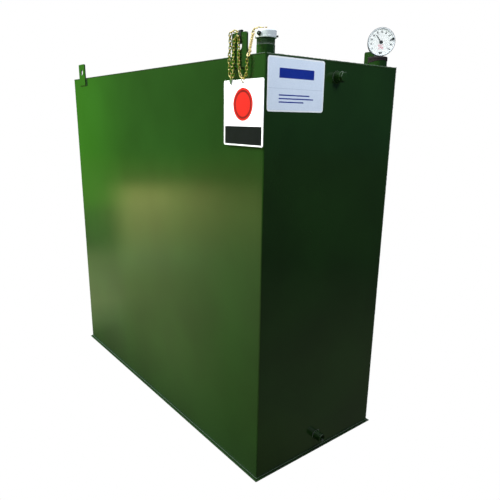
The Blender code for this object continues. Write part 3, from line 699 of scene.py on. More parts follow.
SOCKET_BORE = 0.01225
CUTTER_REACH = 0.02
outlet_low, outlet_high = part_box("outlet_socket")
outlet_axis = (outlet_low + outlet_high) / 2
shell_low, shell_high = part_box("front_shell")
profile = [(0, CUTTER_REACH), (SOCKET_BORE, CUTTER_REACH), (SOCKET_BORE, -CUTTER_REACH), (0, -CUTTER_REACH)]
bore = spun("outlet_hole", profile, enamel,
            axes((shell_high.x, outlet_axis.y, outlet_axis.z), (0, 1, 0), (0, 0, 1)))
front_sheet = folded_sheet("front_sheet", shell_low, shell_high, 3.0, [bore])
rear_sheet = folded_sheet("rear_sheet", shell_low, shell_high, 8.0, matrix=Matrix.Rotation(math.pi, 4, "Z"))
fit(front_sheet, GREEN, "front_shell")
fit(rear_sheet, GREEN, "rear_shell")
print("front sheet faces", len(front_sheet.data.polygons))

# %% [markdown]
# ## Base and top plates
# The base plate stands out 10 mm all round. The cut edge of such a plate is never sharp once it is
# painted: the film rounds it by half a millimetre, and that thin round catches the light. The top plate
# is closed to view at its edge by the weld, so the construction model's own solid stays and is only
# painted.

# %% Base plate and top plate
BASE_CORNER = 0.002

base_low, base_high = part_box("base_plate")
base = flat_plate("base_plate_painted", [rounded_box(base_low, base_high, BASE_CORNER, 3)],
                  base_high.z - base_low.z, PAINT_ROUND, enamel, raised((base_low.z + base_high.z) / 2))
fit(base, GREEN, "base_plate")
NODES["top_plate"].data.materials.clear()
NODES["top_plate"].data.materials.append(enamel)
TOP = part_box("top_plate")[1].z
print("base", in_mm(base), "mm, top at", round(TOP, 4))

# %% [markdown]
# ## Weld beads
# The foot is a fillet weld on the lip of the base plate. The top edge and the two upright corners are
# thin beads that fill the notch between two sheets, and on the ends the top bead is broad and catches the
# sky. From a metre away a bead is a row of ripples, each with its own glint, which is why a smooth strip
# never looks like a weld. The bead tree lays one leaning coin of metal at each ripple. The rear sheet is
# the front one turned half way round, and so are its seams.

# %% Long seams
FOOT_BEAD = {"Ripple Pitch": 0.0042, "Bead Radius": 0.004, "Lean": 0.6}
SEAM_BEAD = {"Ripple Pitch": 0.0031, "Bead Radius": 0.0025, "Lean": 0.4}
END_BEAD = {"Ripple Pitch": 0.0034, "Bead Radius": 0.0056, "Lean": 0.3}
END_INSET = 0.0042
FOOT_INSET = 0.0012
FOOT_RISE = 0.0017
SEAM_INSET = 0.0013

side_x = shell_high.x
side_y = -shell_low.y
foot_x = side_x + FOOT_INSET
foot_y = side_y + FOOT_INSET
foot_z = base_high.z + FOOT_RISE
seam_x = side_x - SEAM_INSET
seam_y = side_y - SEAM_INSET
seam_z = TOP - SEAM_INSET
end_x = side_x - END_INSET
end_y = side_y - END_INSET
end_z = TOP - END_INSET
corner_y = side_y - SHEET + SEAM_INSET
SEAMS = [
    ("front_base_weld", "rear_base_weld", FOOT_BEAD, (-foot_x, -foot_y, foot_z), (foot_x, -foot_y, foot_z)),
    ("near_base_weld", "far_base_weld", FOOT_BEAD, (foot_x, -foot_y, foot_z), (foot_x, foot_y, foot_z)),
    ("front_top_weld", "rear_top_weld", SEAM_BEAD,
     (-seam_x, -seam_y, seam_z), (seam_x - FOLD_RADIUS, -seam_y, seam_z)),
    ("near_top_weld", "far_top_weld", END_BEAD, (end_x, FOLD_RADIUS - end_y, end_z), (end_x, end_y, end_z)),
    ("front_corner_weld", "rear_corner_weld", SEAM_BEAD,
     (-seam_x, -corner_y, SHEET), (-seam_x, -corner_y, TOP)),
]
seed = 0
for front_node, rear_node, bead, start, end in SEAMS:
    for node, turn in ((front_node, 1), (rear_node, -1)):
        line = path_curve(node, [(turn * x, turn * y, z) for x, y, z in (start, end)])
        weld = grow(node.replace("weld", "bead"), line, BEADS, {**bead, "Seed": seed}, enamel)
        fit(weld, GREEN, node)
        seed += 1
        print(weld.name, "faces", len(weld.data.polygons))

# %% [markdown]
# ## Lifting lugs
# Four eye plates are lapped over the top of the long sides and welded round the lap. Each is flame cut
# from 6 mm bar, so the outline is a rectangle with two rounded corners and a round eye.

# %% Lugs
LUG_CORNER = 0.006
EYE_RADIUS = 0.013
EYE_RISE = 0.027
BEAD_STANDOFF = 0.0008
LUG_BEAD = {"Ripple Pitch": 0.0032, "Bead Radius": 0.0026, "Lean": 0.5}


def lug(node, seed):
    low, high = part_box(node)
    middle = (low.x + high.x) / 2
    edge = rounded_box((low.x, low.z), (high.x, high.z), LUG_CORNER, square_foot=True)
    eye = circle((middle, TOP + EYE_RISE), EYE_RADIUS)
    place = axes((0, (low.y + high.y) / 2, 0), (1, 0, 0), (0, 0, 1))
    plate = flat_plate(node + "_plate", [edge, eye], high.y - low.y, PAINT_ROUND, enamel, place)
    fit(plate, GREEN, node)
    wall = math.copysign(side_y + BEAD_STANDOFF, low.y)
    left, right, foot = low.x - BEAD_STANDOFF, high.x + BEAD_STANDOFF, low.z - BEAD_STANDOFF
    lap = [(left, wall, TOP), (left, wall, foot), (right, wall, foot), (right, wall, TOP)]
    bead = grow(node + "_bead", path_curve(node, lap), BEADS, {**LUG_BEAD, "Seed": seed}, enamel)
    fit(bead, GREEN)
    return plate


for number, node in enumerate(("front_near_lug", "front_far_lug", "rear_near_lug", "rear_far_lug")):
    plate = lug(node, 20 + number)
    print(plate.name, in_mm(plate), "mm")

# %% [markdown]
# ## Fill pipe and cap
# The fill pipe is a length of 2 inch pipe welded to the top plate. Its upper part is threaded at 11 turns
# to the inch, and was painted with the rest before the cap went on. The ridge is one circle swept along
# a helix. The cap is a turned profile: a crown with a round shoulder over a skirt that is barely wider.

# %% Fill pipe
THREAD_PITCH = 0.0254 / 11
PIPE_RADIUS = 0.03015
PIPE_BORE = 0.02655
THREAD_ROOT = 0.0292
THREAD_START = 0.0485
THREAD_RIDGE = 0.0008
CAP_START = 0.068
RING_BEAD = {"Ripple Pitch": 0.0032, "Bead Radius": 0.0028, "Lean": 0.5}

pipe_low, pipe_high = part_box("fill_riser")
pipe_axis = (pipe_low + pipe_high) / 2
on_pipe = Matrix.Translation((pipe_axis.x, pipe_axis.y, TOP))
pipe_top = pipe_high.z - TOP
profile = [(PIPE_BORE, pipe_top - 0.001), (PIPE_BORE + 0.001, pipe_top), (THREAD_ROOT - 0.0008, pipe_top),
           (THREAD_ROOT, pipe_top - 0.0008), (THREAD_ROOT, THREAD_START + 0.0012),
           (PIPE_RADIUS - 0.0004, THREAD_START), (PIPE_RADIUS, THREAD_START - 0.0006),
           (PIPE_RADIUS, GAP), (PIPE_BORE, GAP)]
fit(spun("fill_pipe", profile, enamel, on_pipe), GREEN, "fill_riser")
thread_length = CAP_START - THREAD_START - 0.003
ridge = grow("fill_pipe_thread", bpy.data.meshes.new("thread"), THREAD, {
    "Thread Radius": THREAD_ROOT, "Turns": thread_length / THREAD_PITCH, "Height": thread_length,
    "Ridge": THREAD_RIDGE}, enamel, on_pipe @ raised(THREAD_START + 0.0022))
fit(ridge, GREEN)


def ring_bead(name, centre, radius, seed, matrix=None):
    """A bead right round the foot of a pipe or socket."""
    radius += BEAD_STANDOFF
    ring = [(centre[0] + radius * math.cos(a), centre[1] + radius * math.sin(a), centre[2] + BEAD_STANDOFF)
            for a in (math.tau * i / 60 for i in range(60))]
    path = path_curve(name, ring, cyclic=True)
    fit(grow(name, path, BEADS, {**RING_BEAD, "Seed": seed}, enamel, matrix), GREEN)


ring_bead("fill_pipe_bead", (pipe_axis.x, pipe_axis.y, TOP), PIPE_RADIUS, 31)
print("thread turns", round(thread_length / THREAD_PITCH, 1))

# %% Cap
CAP_RADIUS = 0.0348
CAP_BODY = 0.0344
CAP_FLAT = 0.012
CAP_LIP = 0.0055
CAP_SHOULDER = 0.006
CAP_CROWN = 0.006
CAP_BORE = 0.0298

cap_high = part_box("fill_cap")[1]
crown = cap_high.z - TOP
profile = [(0, crown), (CAP_FLAT, crown)]
profile += arc((CAP_BODY - CAP_SHOULDER, crown - CAP_SHOULDER), CAP_SHOULDER, 90, 0)
profile += [(CAP_BODY, CAP_START + CAP_LIP + 0.0004), (CAP_RADIUS, CAP_START + CAP_LIP - 0.0002),
            (CAP_RADIUS, CAP_START + 0.0007), (CAP_RADIUS - 0.0007, CAP_START),
            (CAP_BORE + 0.0006, CAP_START), (CAP_BORE, CAP_START + 0.0006),
            (CAP_BORE, crown - CAP_CROWN), (0, crown - CAP_CROWN)]
cap = spun("fill_cap_turned", profile, aluminium, on_pipe, 96)
fit(cap, "cast_cap", "fill_cap")
print("cap", in_mm(cap), "mm")

# %% [markdown]
# ## Lock screw, stop pin and chain stud
# The cap is locked by a dark screw through its side, and a pin on the lip stops it from turning past the
# lock. Each is small, but both break the cap's outline, so each gets its own turned profile.


# %% Fittings on the cap
def level(azimuth):
    """Level direction, 0 towards -Y and 90 towards +X."""
    angle = math.radians(azimuth)
    return Vector((math.sin(angle), -math.cos(angle), 0))


def on_cap(node, azimuth):
    """Frame with its Z axis out of the cap's side, at its wall, and the length of a node beyond it."""
    low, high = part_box(node)
    outwards = level(azimuth)
    middle = (low + high) / 2
    reach = (Vector((middle.x, middle.y, 0)) - Vector((pipe_axis.x, pipe_axis.y, 0))).dot(outwards)
    half_length = reach - CAP_RADIUS
    place = axes(middle - outwards * half_length, Vector((0, 0, 1)).cross(outwards), (0, 0, 1))
    return place, 2 * half_length


LOCK_AZIMUTH = 14
PIN_AZIMUTH = 128
LOCK_RADIUS = 0.007
PIN_RADIUS = 0.0036
PIN_NECK = 0.0024
STUD_NECK = 0.0026

place, length = on_cap("cap_lock_screw", LOCK_AZIMUTH)
profile = [(0, 0.0012), (0.0082, 0.0012), (0.009, 0.0006), (0.0092, -0.003), (0, -0.003)]
fit(spun("cap_lock_boss", profile, aluminium, place, 40), "cast_cap")
profile = [(0, length), (0.0045, length), (0.006, length - 0.0008), (LOCK_RADIUS, length - 0.0022),
           (LOCK_RADIUS, 0.0005), (0, 0.0005)]
fit(spun("cap_lock_head", profile, black_nylon, place, 32), BLACK, "cap_lock_screw")
slot = [rounded_box((-0.004, -0.0006), (0.004, 0.0006), 0.0004, 3)]
fit(flat_plate("cap_lock_slot", slot, 0.0006, FINE_ROUND, zinc, place @ raised(length + 0.0001)), BLACK)

place, length = on_cap("cap_pin", PIN_AZIMUTH)
profile = [(0, length), (0.0028, length), (PIN_RADIUS, length - 0.0008), (PIN_RADIUS, length - 0.0026),
           (PIN_NECK, length - 0.0032), (PIN_NECK, -0.001), (0, -0.001)]
fit(spun("cap_stop_pin", profile, black_nylon, place, 24), BLACK, "cap_pin")

stud_low, stud_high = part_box("cap_chain_stud")
rise = stud_high.z - stud_low.z
profile = [(0, rise), (0.0028, rise), (0.0042, rise - 0.0008), (0.0045, rise - 0.002),
           (STUD_NECK, rise - 0.003), (STUD_NECK, 0), (0, 0)]
place = Matrix.Translation((pipe_axis.x, pipe_axis.y, stud_low.z))
stud = spun("cap_chain_rivet", profile, brass, place, 32)
fit(stud, BRASS, "cap_chain_stud")
print("chain stud", in_mm(stud), "mm")

# %% [markdown]
# ## Sockets on the end
# Two steel sockets are welded to the near end: an open outlet by the floor, and a plugged one under the
# top edge. The inner thread shows in the open one.

# %% Sockets and plug
SOCKET_RADIUS = 0.017
SOCKET_CHAMFER = 0.001
OUTLET_TURNS = 6
OUTLET_RIDGE = 0.0006
PLUG_FLATS = 0.027
PLUG_ROUND = 0.0008
SHANK_START = 0.01


def end_socket(node, seed):
    low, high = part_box(node)
    axis = (low + high) / 2
    length = high.x - shell_high.x
    place = axes((shell_high.x, axis.y, axis.z), (0, 1, 0), (0, 0, 1))
    profile = [(SOCKET_BORE + SOCKET_CHAMFER, length), (SOCKET_RADIUS - SOCKET_CHAMFER, length),
               (SOCKET_RADIUS, length - SOCKET_CHAMFER), (SOCKET_RADIUS, GAP), (SOCKET_BORE, GAP),
               (SOCKET_BORE, length - SOCKET_CHAMFER)]
    fit(spun(node + "_turned", profile, enamel, place, 48), GREEN, node)
    ring_bead(node + "_bead", (0, 0, 0), SOCKET_RADIUS, seed, place)
    return place, length


outlet_place, outlet_length = end_socket("outlet_socket", 41)
thread_length = OUTLET_TURNS * THREAD_PITCH
ridge = grow("outlet_thread", bpy.data.meshes.new("thread"), THREAD, {
    "Thread Radius": SOCKET_BORE, "Turns": float(OUTLET_TURNS), "Height": thread_length,
    "Ridge": OUTLET_RIDGE}, enamel, outlet_place @ raised(outlet_length - thread_length - 0.002))
fit(ridge, GREEN)

upper_place, upper_length = end_socket("upper_socket", 42)
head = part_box("upper_plug")[1].x - shell_high.x
head_foot = upper_length + GAP
hexagon = arc((0, 0), PLUG_FLATS / math.sqrt(3), 0, 300, 5)
body = flat_plate("plug_head", [hexagon], head - head_foot, PLUG_ROUND, enamel,
                  upper_place @ raised((head + head_foot) / 2))
profile = [(0, head - 0.002), (SOCKET_BORE - GAP, head - 0.002), (SOCKET_BORE - GAP, SHANK_START),
           (0, SHANK_START)]
shank = spun("plug_shank", profile, enamel, upper_place, 40)
fit(joined("upper_plug_hex", [body, shank]), GREEN, "upper_plug")
print("sockets", round(outlet_length * 1000, 1), round(upper_length * 1000, 1), "mm long")

# %% [markdown]
# ## Level gauge
# The gauge is a float gauge with a white dial. Its housing stands on a neck that is screwed into a 2 inch
# socket, with a dark sealing nut between them. The dial is printed from 0 to 100, and each number is
# written along its own radius. Numbers are text objects, made into meshes before they are placed. The
# pointer and its hub ride on their own body, because the float turns them.

# %% Gauge frame
GAUGE_FACING = 44
GAUGE_RADIUS = 0.0467
POINTER_ANGLE = 37.6

DIAL_CENTRE = Vector(frame["joints"][0]["pos_m"])
gauge_front = level(GAUGE_FACING)
on_gauge = axes(DIAL_CENTRE, Vector((0, 0, 1)).cross(gauge_front), (0, 0, 1))
print("dial centre", tuple(DIAL_CENTRE))

# %% Housing
HOUSING_RADIUS = 0.0447
HOUSING_DEPTH = 0.032
HOUSING_ROUND = 0.006
WINDOW_RADIUS = 0.0422
NECK_RADIUS = 0.0125
NECK_START = 0.012
RIM = 0.006
RECESS = -0.006

# The housing and its neck are dark grey as painted shade: their sides draw the shaded outline round the
# gauge.
profile = [(0, -HOUSING_DEPTH)]
profile += arc((HOUSING_RADIUS - HOUSING_ROUND, HOUSING_ROUND - HOUSING_DEPTH), HOUSING_ROUND, -90, 0, 6)
profile += [(HOUSING_RADIUS, RIM), (WINDOW_RADIUS, RIM), (WINDOW_RADIUS, RECESS), (0, RECESS)]
drum = spun("gauge_drum", profile, gauge_painted_shade, on_gauge, 72)
wall = WINDOW_RADIUS - GAP
profile = [(WINDOW_RADIUS, RECESS + 0.0015), (WINDOW_RADIUS, RIM - 0.0002), (wall, RIM - 0.0002),
           (wall, RECESS + 0.0015)]
fit(spun("gauge_recess_wall", profile, dial_white, on_gauge, 72), "dial_white")
socket_low, socket_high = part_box("gauge_socket")
socket_axis = (socket_low + socket_high) / 2
on_socket = Matrix.Translation((socket_axis.x, socket_axis.y, TOP))
neck_top = DIAL_CENTRE.z - TOP - HOUSING_RADIUS + 0.012
profile = [(0, neck_top), (NECK_RADIUS, neck_top), (NECK_RADIUS, NECK_START), (0, NECK_START)]
neck = spun("gauge_neck", profile, gauge_painted_shade, on_socket, 40)
fit(joined("gauge_body", [drum, neck]), "gauge_grey", "gauge_housing")
print("neck top", round(neck_top, 4), "above the plate")

# %% Dial, lens and bezel
DIAL_FACE = RECESS + 0.0013
LENS_FACE = RIM + 0.0018
BEZEL_FACE = RIM + 0.0041
BEZEL_CHAMFER = 0.0012
BEZEL_BORE = HOUSING_RADIUS + 0.0006
BEZEL_SEAT = RIM + 0.0021

profile = [(0, DIAL_FACE), (WINDOW_RADIUS - 2 * GAP, DIAL_FACE), (wall, DIAL_FACE - GAP),
           (wall, RECESS + GAP), (0, RECESS + GAP)]
fit(spun("gauge_dial_plate", profile, dial_white, on_gauge, 72), "dial_white", "gauge_dial")
profile = [(0, LENS_FACE), (HOUSING_RADIUS, LENS_FACE), (HOUSING_RADIUS, RIM + GAP), (0, RIM + GAP)]
fit(spun("gauge_window", profile, lens_clear, on_gauge, 72), "clear_lens", "gauge_lens")
profile = [(WINDOW_RADIUS, RIM + 0.0028), (WINDOW_RADIUS + 0.0008, BEZEL_FACE),
           (GAUGE_RADIUS - BEZEL_CHAMFER, BEZEL_FACE), (GAUGE_RADIUS, BEZEL_FACE - BEZEL_CHAMFER),
           (GAUGE_RADIUS, 0.0004), (GAUGE_RADIUS - 0.0004, 0), (BEZEL_BORE, 0), (BEZEL_BORE, BEZEL_SEAT),
           (WINDOW_RADIUS, BEZEL_SEAT)]
fit(spun("gauge_ring", profile, gauge_grey, on_gauge, 96), "gauge_grey", "gauge_bezel")
# A dark ring on the bezel's outer edge is painted shade: the thin shaded outline of the bezel.
profile = [(GAUGE_RADIUS - 0.0011, BEZEL_FACE + 0.0002), (GAUGE_RADIUS + 0.0002, BEZEL_FACE - 0.0011),
           (GAUGE_RADIUS + 0.0002, 0.0004), (GAUGE_RADIUS - BEZEL_CHAMFER, 0.0004),
           (GAUGE_RADIUS - BEZEL_CHAMFER, BEZEL_FACE)]
fit(spun("gauge_ring_edge", profile, gauge_painted_shade, on_gauge, 96), "gauge_grey")
print("gauge", round(2 * GAUGE_RADIUS * 1000), "mm across")

# %% Print on the dial
FIRST_MARK = -125.4
LAST_MARK = 128.6
NUMBER_RADIUS = 0.0345
NUMBER_SIZE = 0.0084
NUMBER_SWELL = 0.0003
MARK_RADIUS = 0.0275
SIGN_DROP = 0.0155
SIGN_SIZE = 0.022
SIGN_SWELL = 0.0004
SIGN_STRETCH = 1.4
INK = 0.00012
LETTER_WELD = 0.000002
TICKS = [("dial_ticks", 11, 0.003, 0.0006), ("dial_fine_ticks", 51, 0.0016, 0.0003)]


def lettering(name, words, size, swell, material, place):
    """Plain lettering as a thin solid, its strokes swollen to bold, centred on its place."""
    curve = bpy.data.curves.new(name, "FONT")
    curve.body = words
    curve.size = size
    curve.align_x = "CENTER"
    curve.align_y = "CENTER"
    curve.extrude = INK / 2
    curve.offset = swell
    curve.resolution_u = 3
    mesh = plain_mesh(name, loose_object(name, curve))
    weld_doubles(mesh, LETTER_WELD)
    return finish_mesh(name, mesh, material, place)


on_dial = on_gauge @ raised(DIAL_FACE + INK / 2)
numbers = []
for i in range(11):
    swing = FIRST_MARK + (LAST_MARK - FIRST_MARK) * i / 10
    spot = Matrix.Rotation(math.radians(-swing), 4, "Z") @ Matrix.Translation((0, NUMBER_RADIUS, 0))
    turn = Matrix.Rotation(math.radians(90 if swing > 5 else -90), 4, "Z")
    place = on_dial @ spot @ turn
    numbers.append(lettering("number", str(10 * i), NUMBER_SIZE, NUMBER_SWELL, ink_grey, place))
fit(joined("dial_numbers", numbers), "dial_white")
place = on_dial @ Matrix.Translation((0, -SIGN_DROP, 0)) @ Matrix.Diagonal((SIGN_STRETCH, 1, 1, 1))
fit(lettering("dial_percent", "%", SIGN_SIZE, SIGN_SWELL, ink_pink, place), "dial_white")
for name, count, length, width in TICKS:
    marks = grow(name, bpy.data.meshes.new(name), MARKS, {
        "Count": count, "Ring Radius": MARK_RADIUS - length / 2, "First Angle": math.radians(90 - LAST_MARK),
        "Sweep": math.radians(LAST_MARK - FIRST_MARK), "Mark Size": (length, width, INK)}, ink_grey, on_dial)
    fit(marks, "dial_white")
    print(name, len(marks.data.polygons))

# %% Pointer, stop and knob
HUB_RADIUS = 0.0058
NEEDLE_LENGTH = 0.029
NEEDLE_HALF_WIDTHS = (0.0016, 0.0009)
NEEDLE_THICKNESS = 0.0008
NEEDLE_RISE = 0.0008
STOP_RADIUS = 0.006
STOP_DROP = 0.0322
STOP_THICKNESS = 0.002
KNOB_RADIUS = 0.0042
KNOB_HALF = 0.0025

on_pointer = on_gauge @ Matrix.Rotation(math.radians(POINTER_ANGLE), 4, "Z")
profile = [(0, 0.003), (0.0035, 0.003), (HUB_RADIUS, 0.0018), (HUB_RADIUS, -0.0042), (0, -0.0042)]
hub = spun("hub", profile, ink_black, on_pointer, 40)
root, tip = NEEDLE_HALF_WIDTHS
blade = [(-root, 0), (root, 0), (tip, NEEDLE_LENGTH), (-tip, NEEDLE_LENGTH)]
place = on_pointer @ raised(NEEDLE_RISE)
needle = flat_plate("needle", [blade], NEEDLE_THICKNESS, FINE_ROUND, ink_black, place)
fit(joined("pointer_needle", [hub, needle]), BLACK, "gauge_pointer", body="pointer")

half_moon = arc((0, 0), STOP_RADIUS, 180, 360, 12)
stop = flat_plate("dial_half_moon", [half_moon], STOP_THICKNESS, SMALL_ROUND, black_nylon,
                  on_gauge @ Matrix.Translation((0, -STOP_DROP, DIAL_FACE + STOP_THICKNESS / 2 + GAP)))
fit(stop, BLACK, "dial_stop")
knob_low, knob_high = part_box("gauge_knob")
knob_place = on_gauge.copy()
knob_place.translation = (knob_low + knob_high) / 2
profile = [(0, KNOB_HALF), (0.003, KNOB_HALF), (KNOB_RADIUS, 0.0014), (KNOB_RADIUS, -KNOB_HALF),
           (0, -KNOB_HALF)]
knob = spun("gauge_knob_turned", profile, black_nylon, knob_place, 28)
fit(knob, BLACK, "gauge_knob")
print("needle", round(NEEDLE_LENGTH * 1000), "mm, knob", in_mm(knob), "mm")

# %% Socket and sealing nut
GAUGE_SOCKET_RADIUS = 0.033
GAUGE_SOCKET_BORE = 0.0285
BORE_CHAMFER = 0.0012
NUT_RADIUS = 0.034
NUT_RIBS = 24
RIB_DEPTH = 0.012
RIBS_BEYOND = NUT_RADIUS - 0.0015

rise = socket_high.z - TOP
profile = [(GAUGE_SOCKET_BORE + BORE_CHAMFER, rise), (GAUGE_SOCKET_RADIUS - SOCKET_CHAMFER, rise),
           (GAUGE_SOCKET_RADIUS, rise - SOCKET_CHAMFER), (GAUGE_SOCKET_RADIUS, GAP),
           (GAUGE_SOCKET_BORE, GAP), (GAUGE_SOCKET_BORE, rise - BORE_CHAMFER)]
fit(spun("gauge_socket_turned", profile, enamel, on_socket, 72), GREEN, "gauge_socket")
ring_bead("gauge_socket_bead", (socket_axis.x, socket_axis.y, TOP), GAUGE_SOCKET_RADIUS, 51)

nut_low, nut_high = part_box("gauge_nut")
nut_foot = nut_low.z - TOP
nut_head = nut_high.z - TOP
nut_bore = NECK_RADIUS + GAP
profile = [(nut_bore, nut_head), (NUT_RADIUS - 0.0025, nut_head), (NUT_RADIUS - 0.0005, nut_head - 0.0015),
           (NUT_RADIUS, nut_head - 0.003), (NUT_RADIUS, nut_foot + 0.001), (NUT_RADIUS - 0.001, nut_foot),
           (nut_bore, nut_foot)]
nut = spun("gauge_nut_ribbed", profile, brown_rubber, None, NUT_RIBS * 4)
for vertex in nut.data.vertices:
    if vertex.co.xy.length > RIBS_BEYOND:
        wave = math.cos(NUT_RIBS * math.atan2(vertex.co.y, vertex.co.x))
        vertex.co.xy *= 1 - RIB_DEPTH * (1 - wave) / 2
nut.data.transform(on_socket)
fit(nut, "dark_nut", "gauge_nut")
print("nut", in_mm(nut), "mm,", NUT_RIBS, "ribs")

# %% Sealing wrap
WRAP_STEPS = 60
WRAP_START = 80
WRAP_SWEEP = 175
WRAP_INSIDE = 0.0333
WRAP_OUTSIDE = 0.0341
WRAP_FLARE = 0.0343
WRAP_WIDTH = 0.0022
WRAP_SAG = 0.0135
LUMP_SIZE = 0.0035


def sealing_wrap(nut_foot):
    """A loose turn of sealing tape that sags below the nut on the left, with lumps on the right."""
    work = bmesh.new()
    loops = []
    top = nut_foot - 0.0002
    for i in range(WRAP_STEPS + 1):
        share = i / WRAP_STEPS
        angle = math.radians(GAUGE_FACING - 90 + WRAP_START - WRAP_SWEEP * share)
        lump = max(0.0, math.sin(9.5 * share + 0.6)) * (1 - share)
        bottom = top - WRAP_WIDTH - WRAP_SAG * share ** 2.2 - LUMP_SIZE * lump
        around = Vector((math.cos(angle), math.sin(angle), 0))
        section = ((WRAP_INSIDE, top), (WRAP_OUTSIDE, top), (WRAP_FLARE, bottom), (WRAP_INSIDE, bottom))
        loops.append([work.verts.new(around * radius + Vector((0, 0, z))) for radius, z in section])
    for first, second in zip(loops, loops[1:]):
        for k in range(4):
            work.faces.new((first[k], first[(k + 1) % 4], second[(k + 1) % 4], second[k]))
    work.faces.new(loops[0])
    work.faces.new(loops[-1][::-1])
    bmesh.ops.recalc_face_normals(work, faces=work.faces)
    return finish_mesh("gauge_sealing_wrap", mesh_from("sealing_wrap", work), brown_rubber, on_socket)


wrap = fit(sealing_wrap(nut_foot), "dark_nut")
print("wrap", in_mm(wrap), "mm")

# %% [markdown]
# ## Chain
# The cap's chain comes down to the tag, goes up again to the lug, where a tie holds it, and its spare end
# hangs beside it in a long loop. Links are ovals of 3.2 mm wire, 16 mm long and 10.6 mm wide, so each
# holds the next one every 9.6 mm. The routes are listed points, and a smooth curve through them gives
# the path that the links follow. Most of it hangs in one plane in front of the long side, leans out a
# little at the tie, and comes back behind the lug's face at its end.

# %% Chain paths
LINK_LENGTH = 0.016
LINK_WIDTH = 0.0106
WIRE_RADIUS = 0.0016
HANG = -0.3175
AT_TIE = -0.3187
BEHIND = -0.2999
ABOVE = cap_high.z + 0.0043


def smooth_path(points, per_span=8):
    """Points on a smooth curve through a given route."""
    spots = [Vector(p) for p in points]
    ends = [2 * spots[0] - spots[1]] + spots + [2 * spots[-1] - spots[-2]]
    path = []
    for before, first, second, after in zip(ends, ends[1:], ends[2:], ends[3:]):
        for i in range(per_span):
            t = i / per_span
            path.append(0.5 * (2 * first + (second - before) * t
                               + (2 * before - 5 * first + 4 * second - after) * t * t
                               + (3 * first - before - 3 * second + after) * t ** 3))
    path.append(spots[-1])
    return path


chain_start = Vector((pipe_axis.x, pipe_axis.y, ABOVE)) + level(-40) * 0.0085
CAP_TO_TAG = [
    tuple(chain_start), (0.5830, -0.1810, ABOVE), (0.5745, -0.1905, ABOVE), (0.5692, -0.1970, 1.5260),
    (0.5705, -0.2000, 1.5150), (0.5840, -0.2140, 1.5020), (0.6070, -0.2360, 1.4840),
    (0.6320, -0.2590, 1.4670), (0.6580, -0.2825, 1.4530), (0.6755, -0.2955, 1.4460),
    (0.6850, -0.3025, 1.4425), (0.6900, -0.3085, 1.4390), (0.6925, -0.3140, 1.4325),
    (0.6925, HANG, 1.4205), (0.6910, HANG, 1.4000), (0.6895, HANG, 1.3830),
    (0.6825, HANG, 1.3719), (0.6753, HANG, 1.3707)]
TAG_TO_LUG = [
    (0.6723, HANG, 1.3707), (0.6655, HANG, 1.3719), (0.6592, HANG, 1.3785), (0.6545, HANG, 1.3935),
    (0.6510, HANG, 1.4120), (0.6500, HANG, 1.4350), (0.6505, HANG, 1.4540), (0.6510, AT_TIE, 1.4710),
    (0.6510, AT_TIE, 1.4865)]
SPARE_LOOP = [
    (0.6462, AT_TIE, 1.4865), (0.6375, AT_TIE, 1.4860), (0.6300, -0.3182, 1.4790), (0.6270, HANG, 1.4650),
    (0.6250, HANG, 1.4500), (0.6235, HANG, 1.4350), (0.6240, HANG, 1.4200), (0.6205, HANG, 1.4050),
    (0.6210, HANG, 1.3920), (0.6225, HANG, 1.3800), (0.6190, HANG, 1.3728), (0.6145, HANG, 1.3706),
    (0.6100, HANG, 1.3728), (0.6060, HANG, 1.3800), (0.6035, HANG, 1.3950), (0.6030, HANG, 1.4120),
    (0.6015, HANG, 1.4300), (0.6045, HANG, 1.4470), (0.6075, HANG, 1.4630), (0.6065, HANG, 1.4800),
    (0.6065, HANG, 1.4930), (0.6100, -0.3160, 1.5025), (0.6170, -0.3085, 1.5048), (0.6260, -0.3015, 1.5015),
    (0.6345, BEHIND, 1.4950), (0.6462, BEHIND, 1.4900)]


# %% Links
def linked_chain(node, route, first_turn):
    path = smooth_path(route)
    length = sum((b - a).length for a, b in zip(path, path[1:]))
    count = round(length / (LINK_LENGTH - 4 * WIRE_RADIUS))
    chain = grow(node + "_links", path_curve(node, path), CHAIN, {
        "Link Count": count, "Link Length": LINK_LENGTH, "Link Width": LINK_WIDTH,
        "Wire Radius": WIRE_RADIUS, "First Turn": first_turn}, brass)
    fit(chain, BRASS, node)
    print(node, round(length * 1000), "mm", count, "links")


linked_chain("chain_cap_to_tag", CAP_TO_TAG, 0.4)
linked_chain("chain_tag_to_lug", TAG_TO_LUG, 0.2)
linked_chain("chain_spare_loop", SPARE_LOOP, 0.5)

# %% Tag ring and tie
STRAP = 0.0018
STRAP_WIDTH = 0.012
STRAP_CROWN = 0.0067

ring_low, ring_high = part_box("tag_ring")
ring_wire = (ring_high.x - ring_low.x) / 2
ring_radius = (ring_high.z - ring_low.z) / 2 - ring_wire
tag_ring = spun("tag_split_ring", circle((ring_radius, 0), ring_wire, 12), brass,
                axes((ring_low + ring_high) / 2, (0, 1, 0), (0, 0, 1)), 48)
fit(tag_ring, BRASS, "tag_ring")

tie_low, tie_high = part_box("lug_tie")
outer = rounded_box((tie_low.y, tie_low.z), (tie_high.y, tie_high.z), 0.003, 6)
inner_low = (tie_low.y + STRAP, tie_low.z + STRAP)
inner_high = (tie_high.y - STRAP, tie_high.z - STRAP_CROWN)
inner = rounded_box(inner_low, inner_high, 0.0015, 6)
strap = flat_plate("tie_strap", [outer, inner[::-1]], STRAP_WIDTH, SMALL_ROUND, black_nylon,
                   axes(((tie_low.x + tie_high.x) / 2, 0, 0), (0, 1, 0), (0, 0, 1)))
fit(strap, BLACK, "lug_tie")
print("ring", in_mm(tag_ring), "tie", in_mm(strap), "mm")

# %% Clip at the foot of the spare loop
CLIP_NOSE = 0.002
CLIP_WAIST = 0.006
CLIP_LENGTH = 0.014

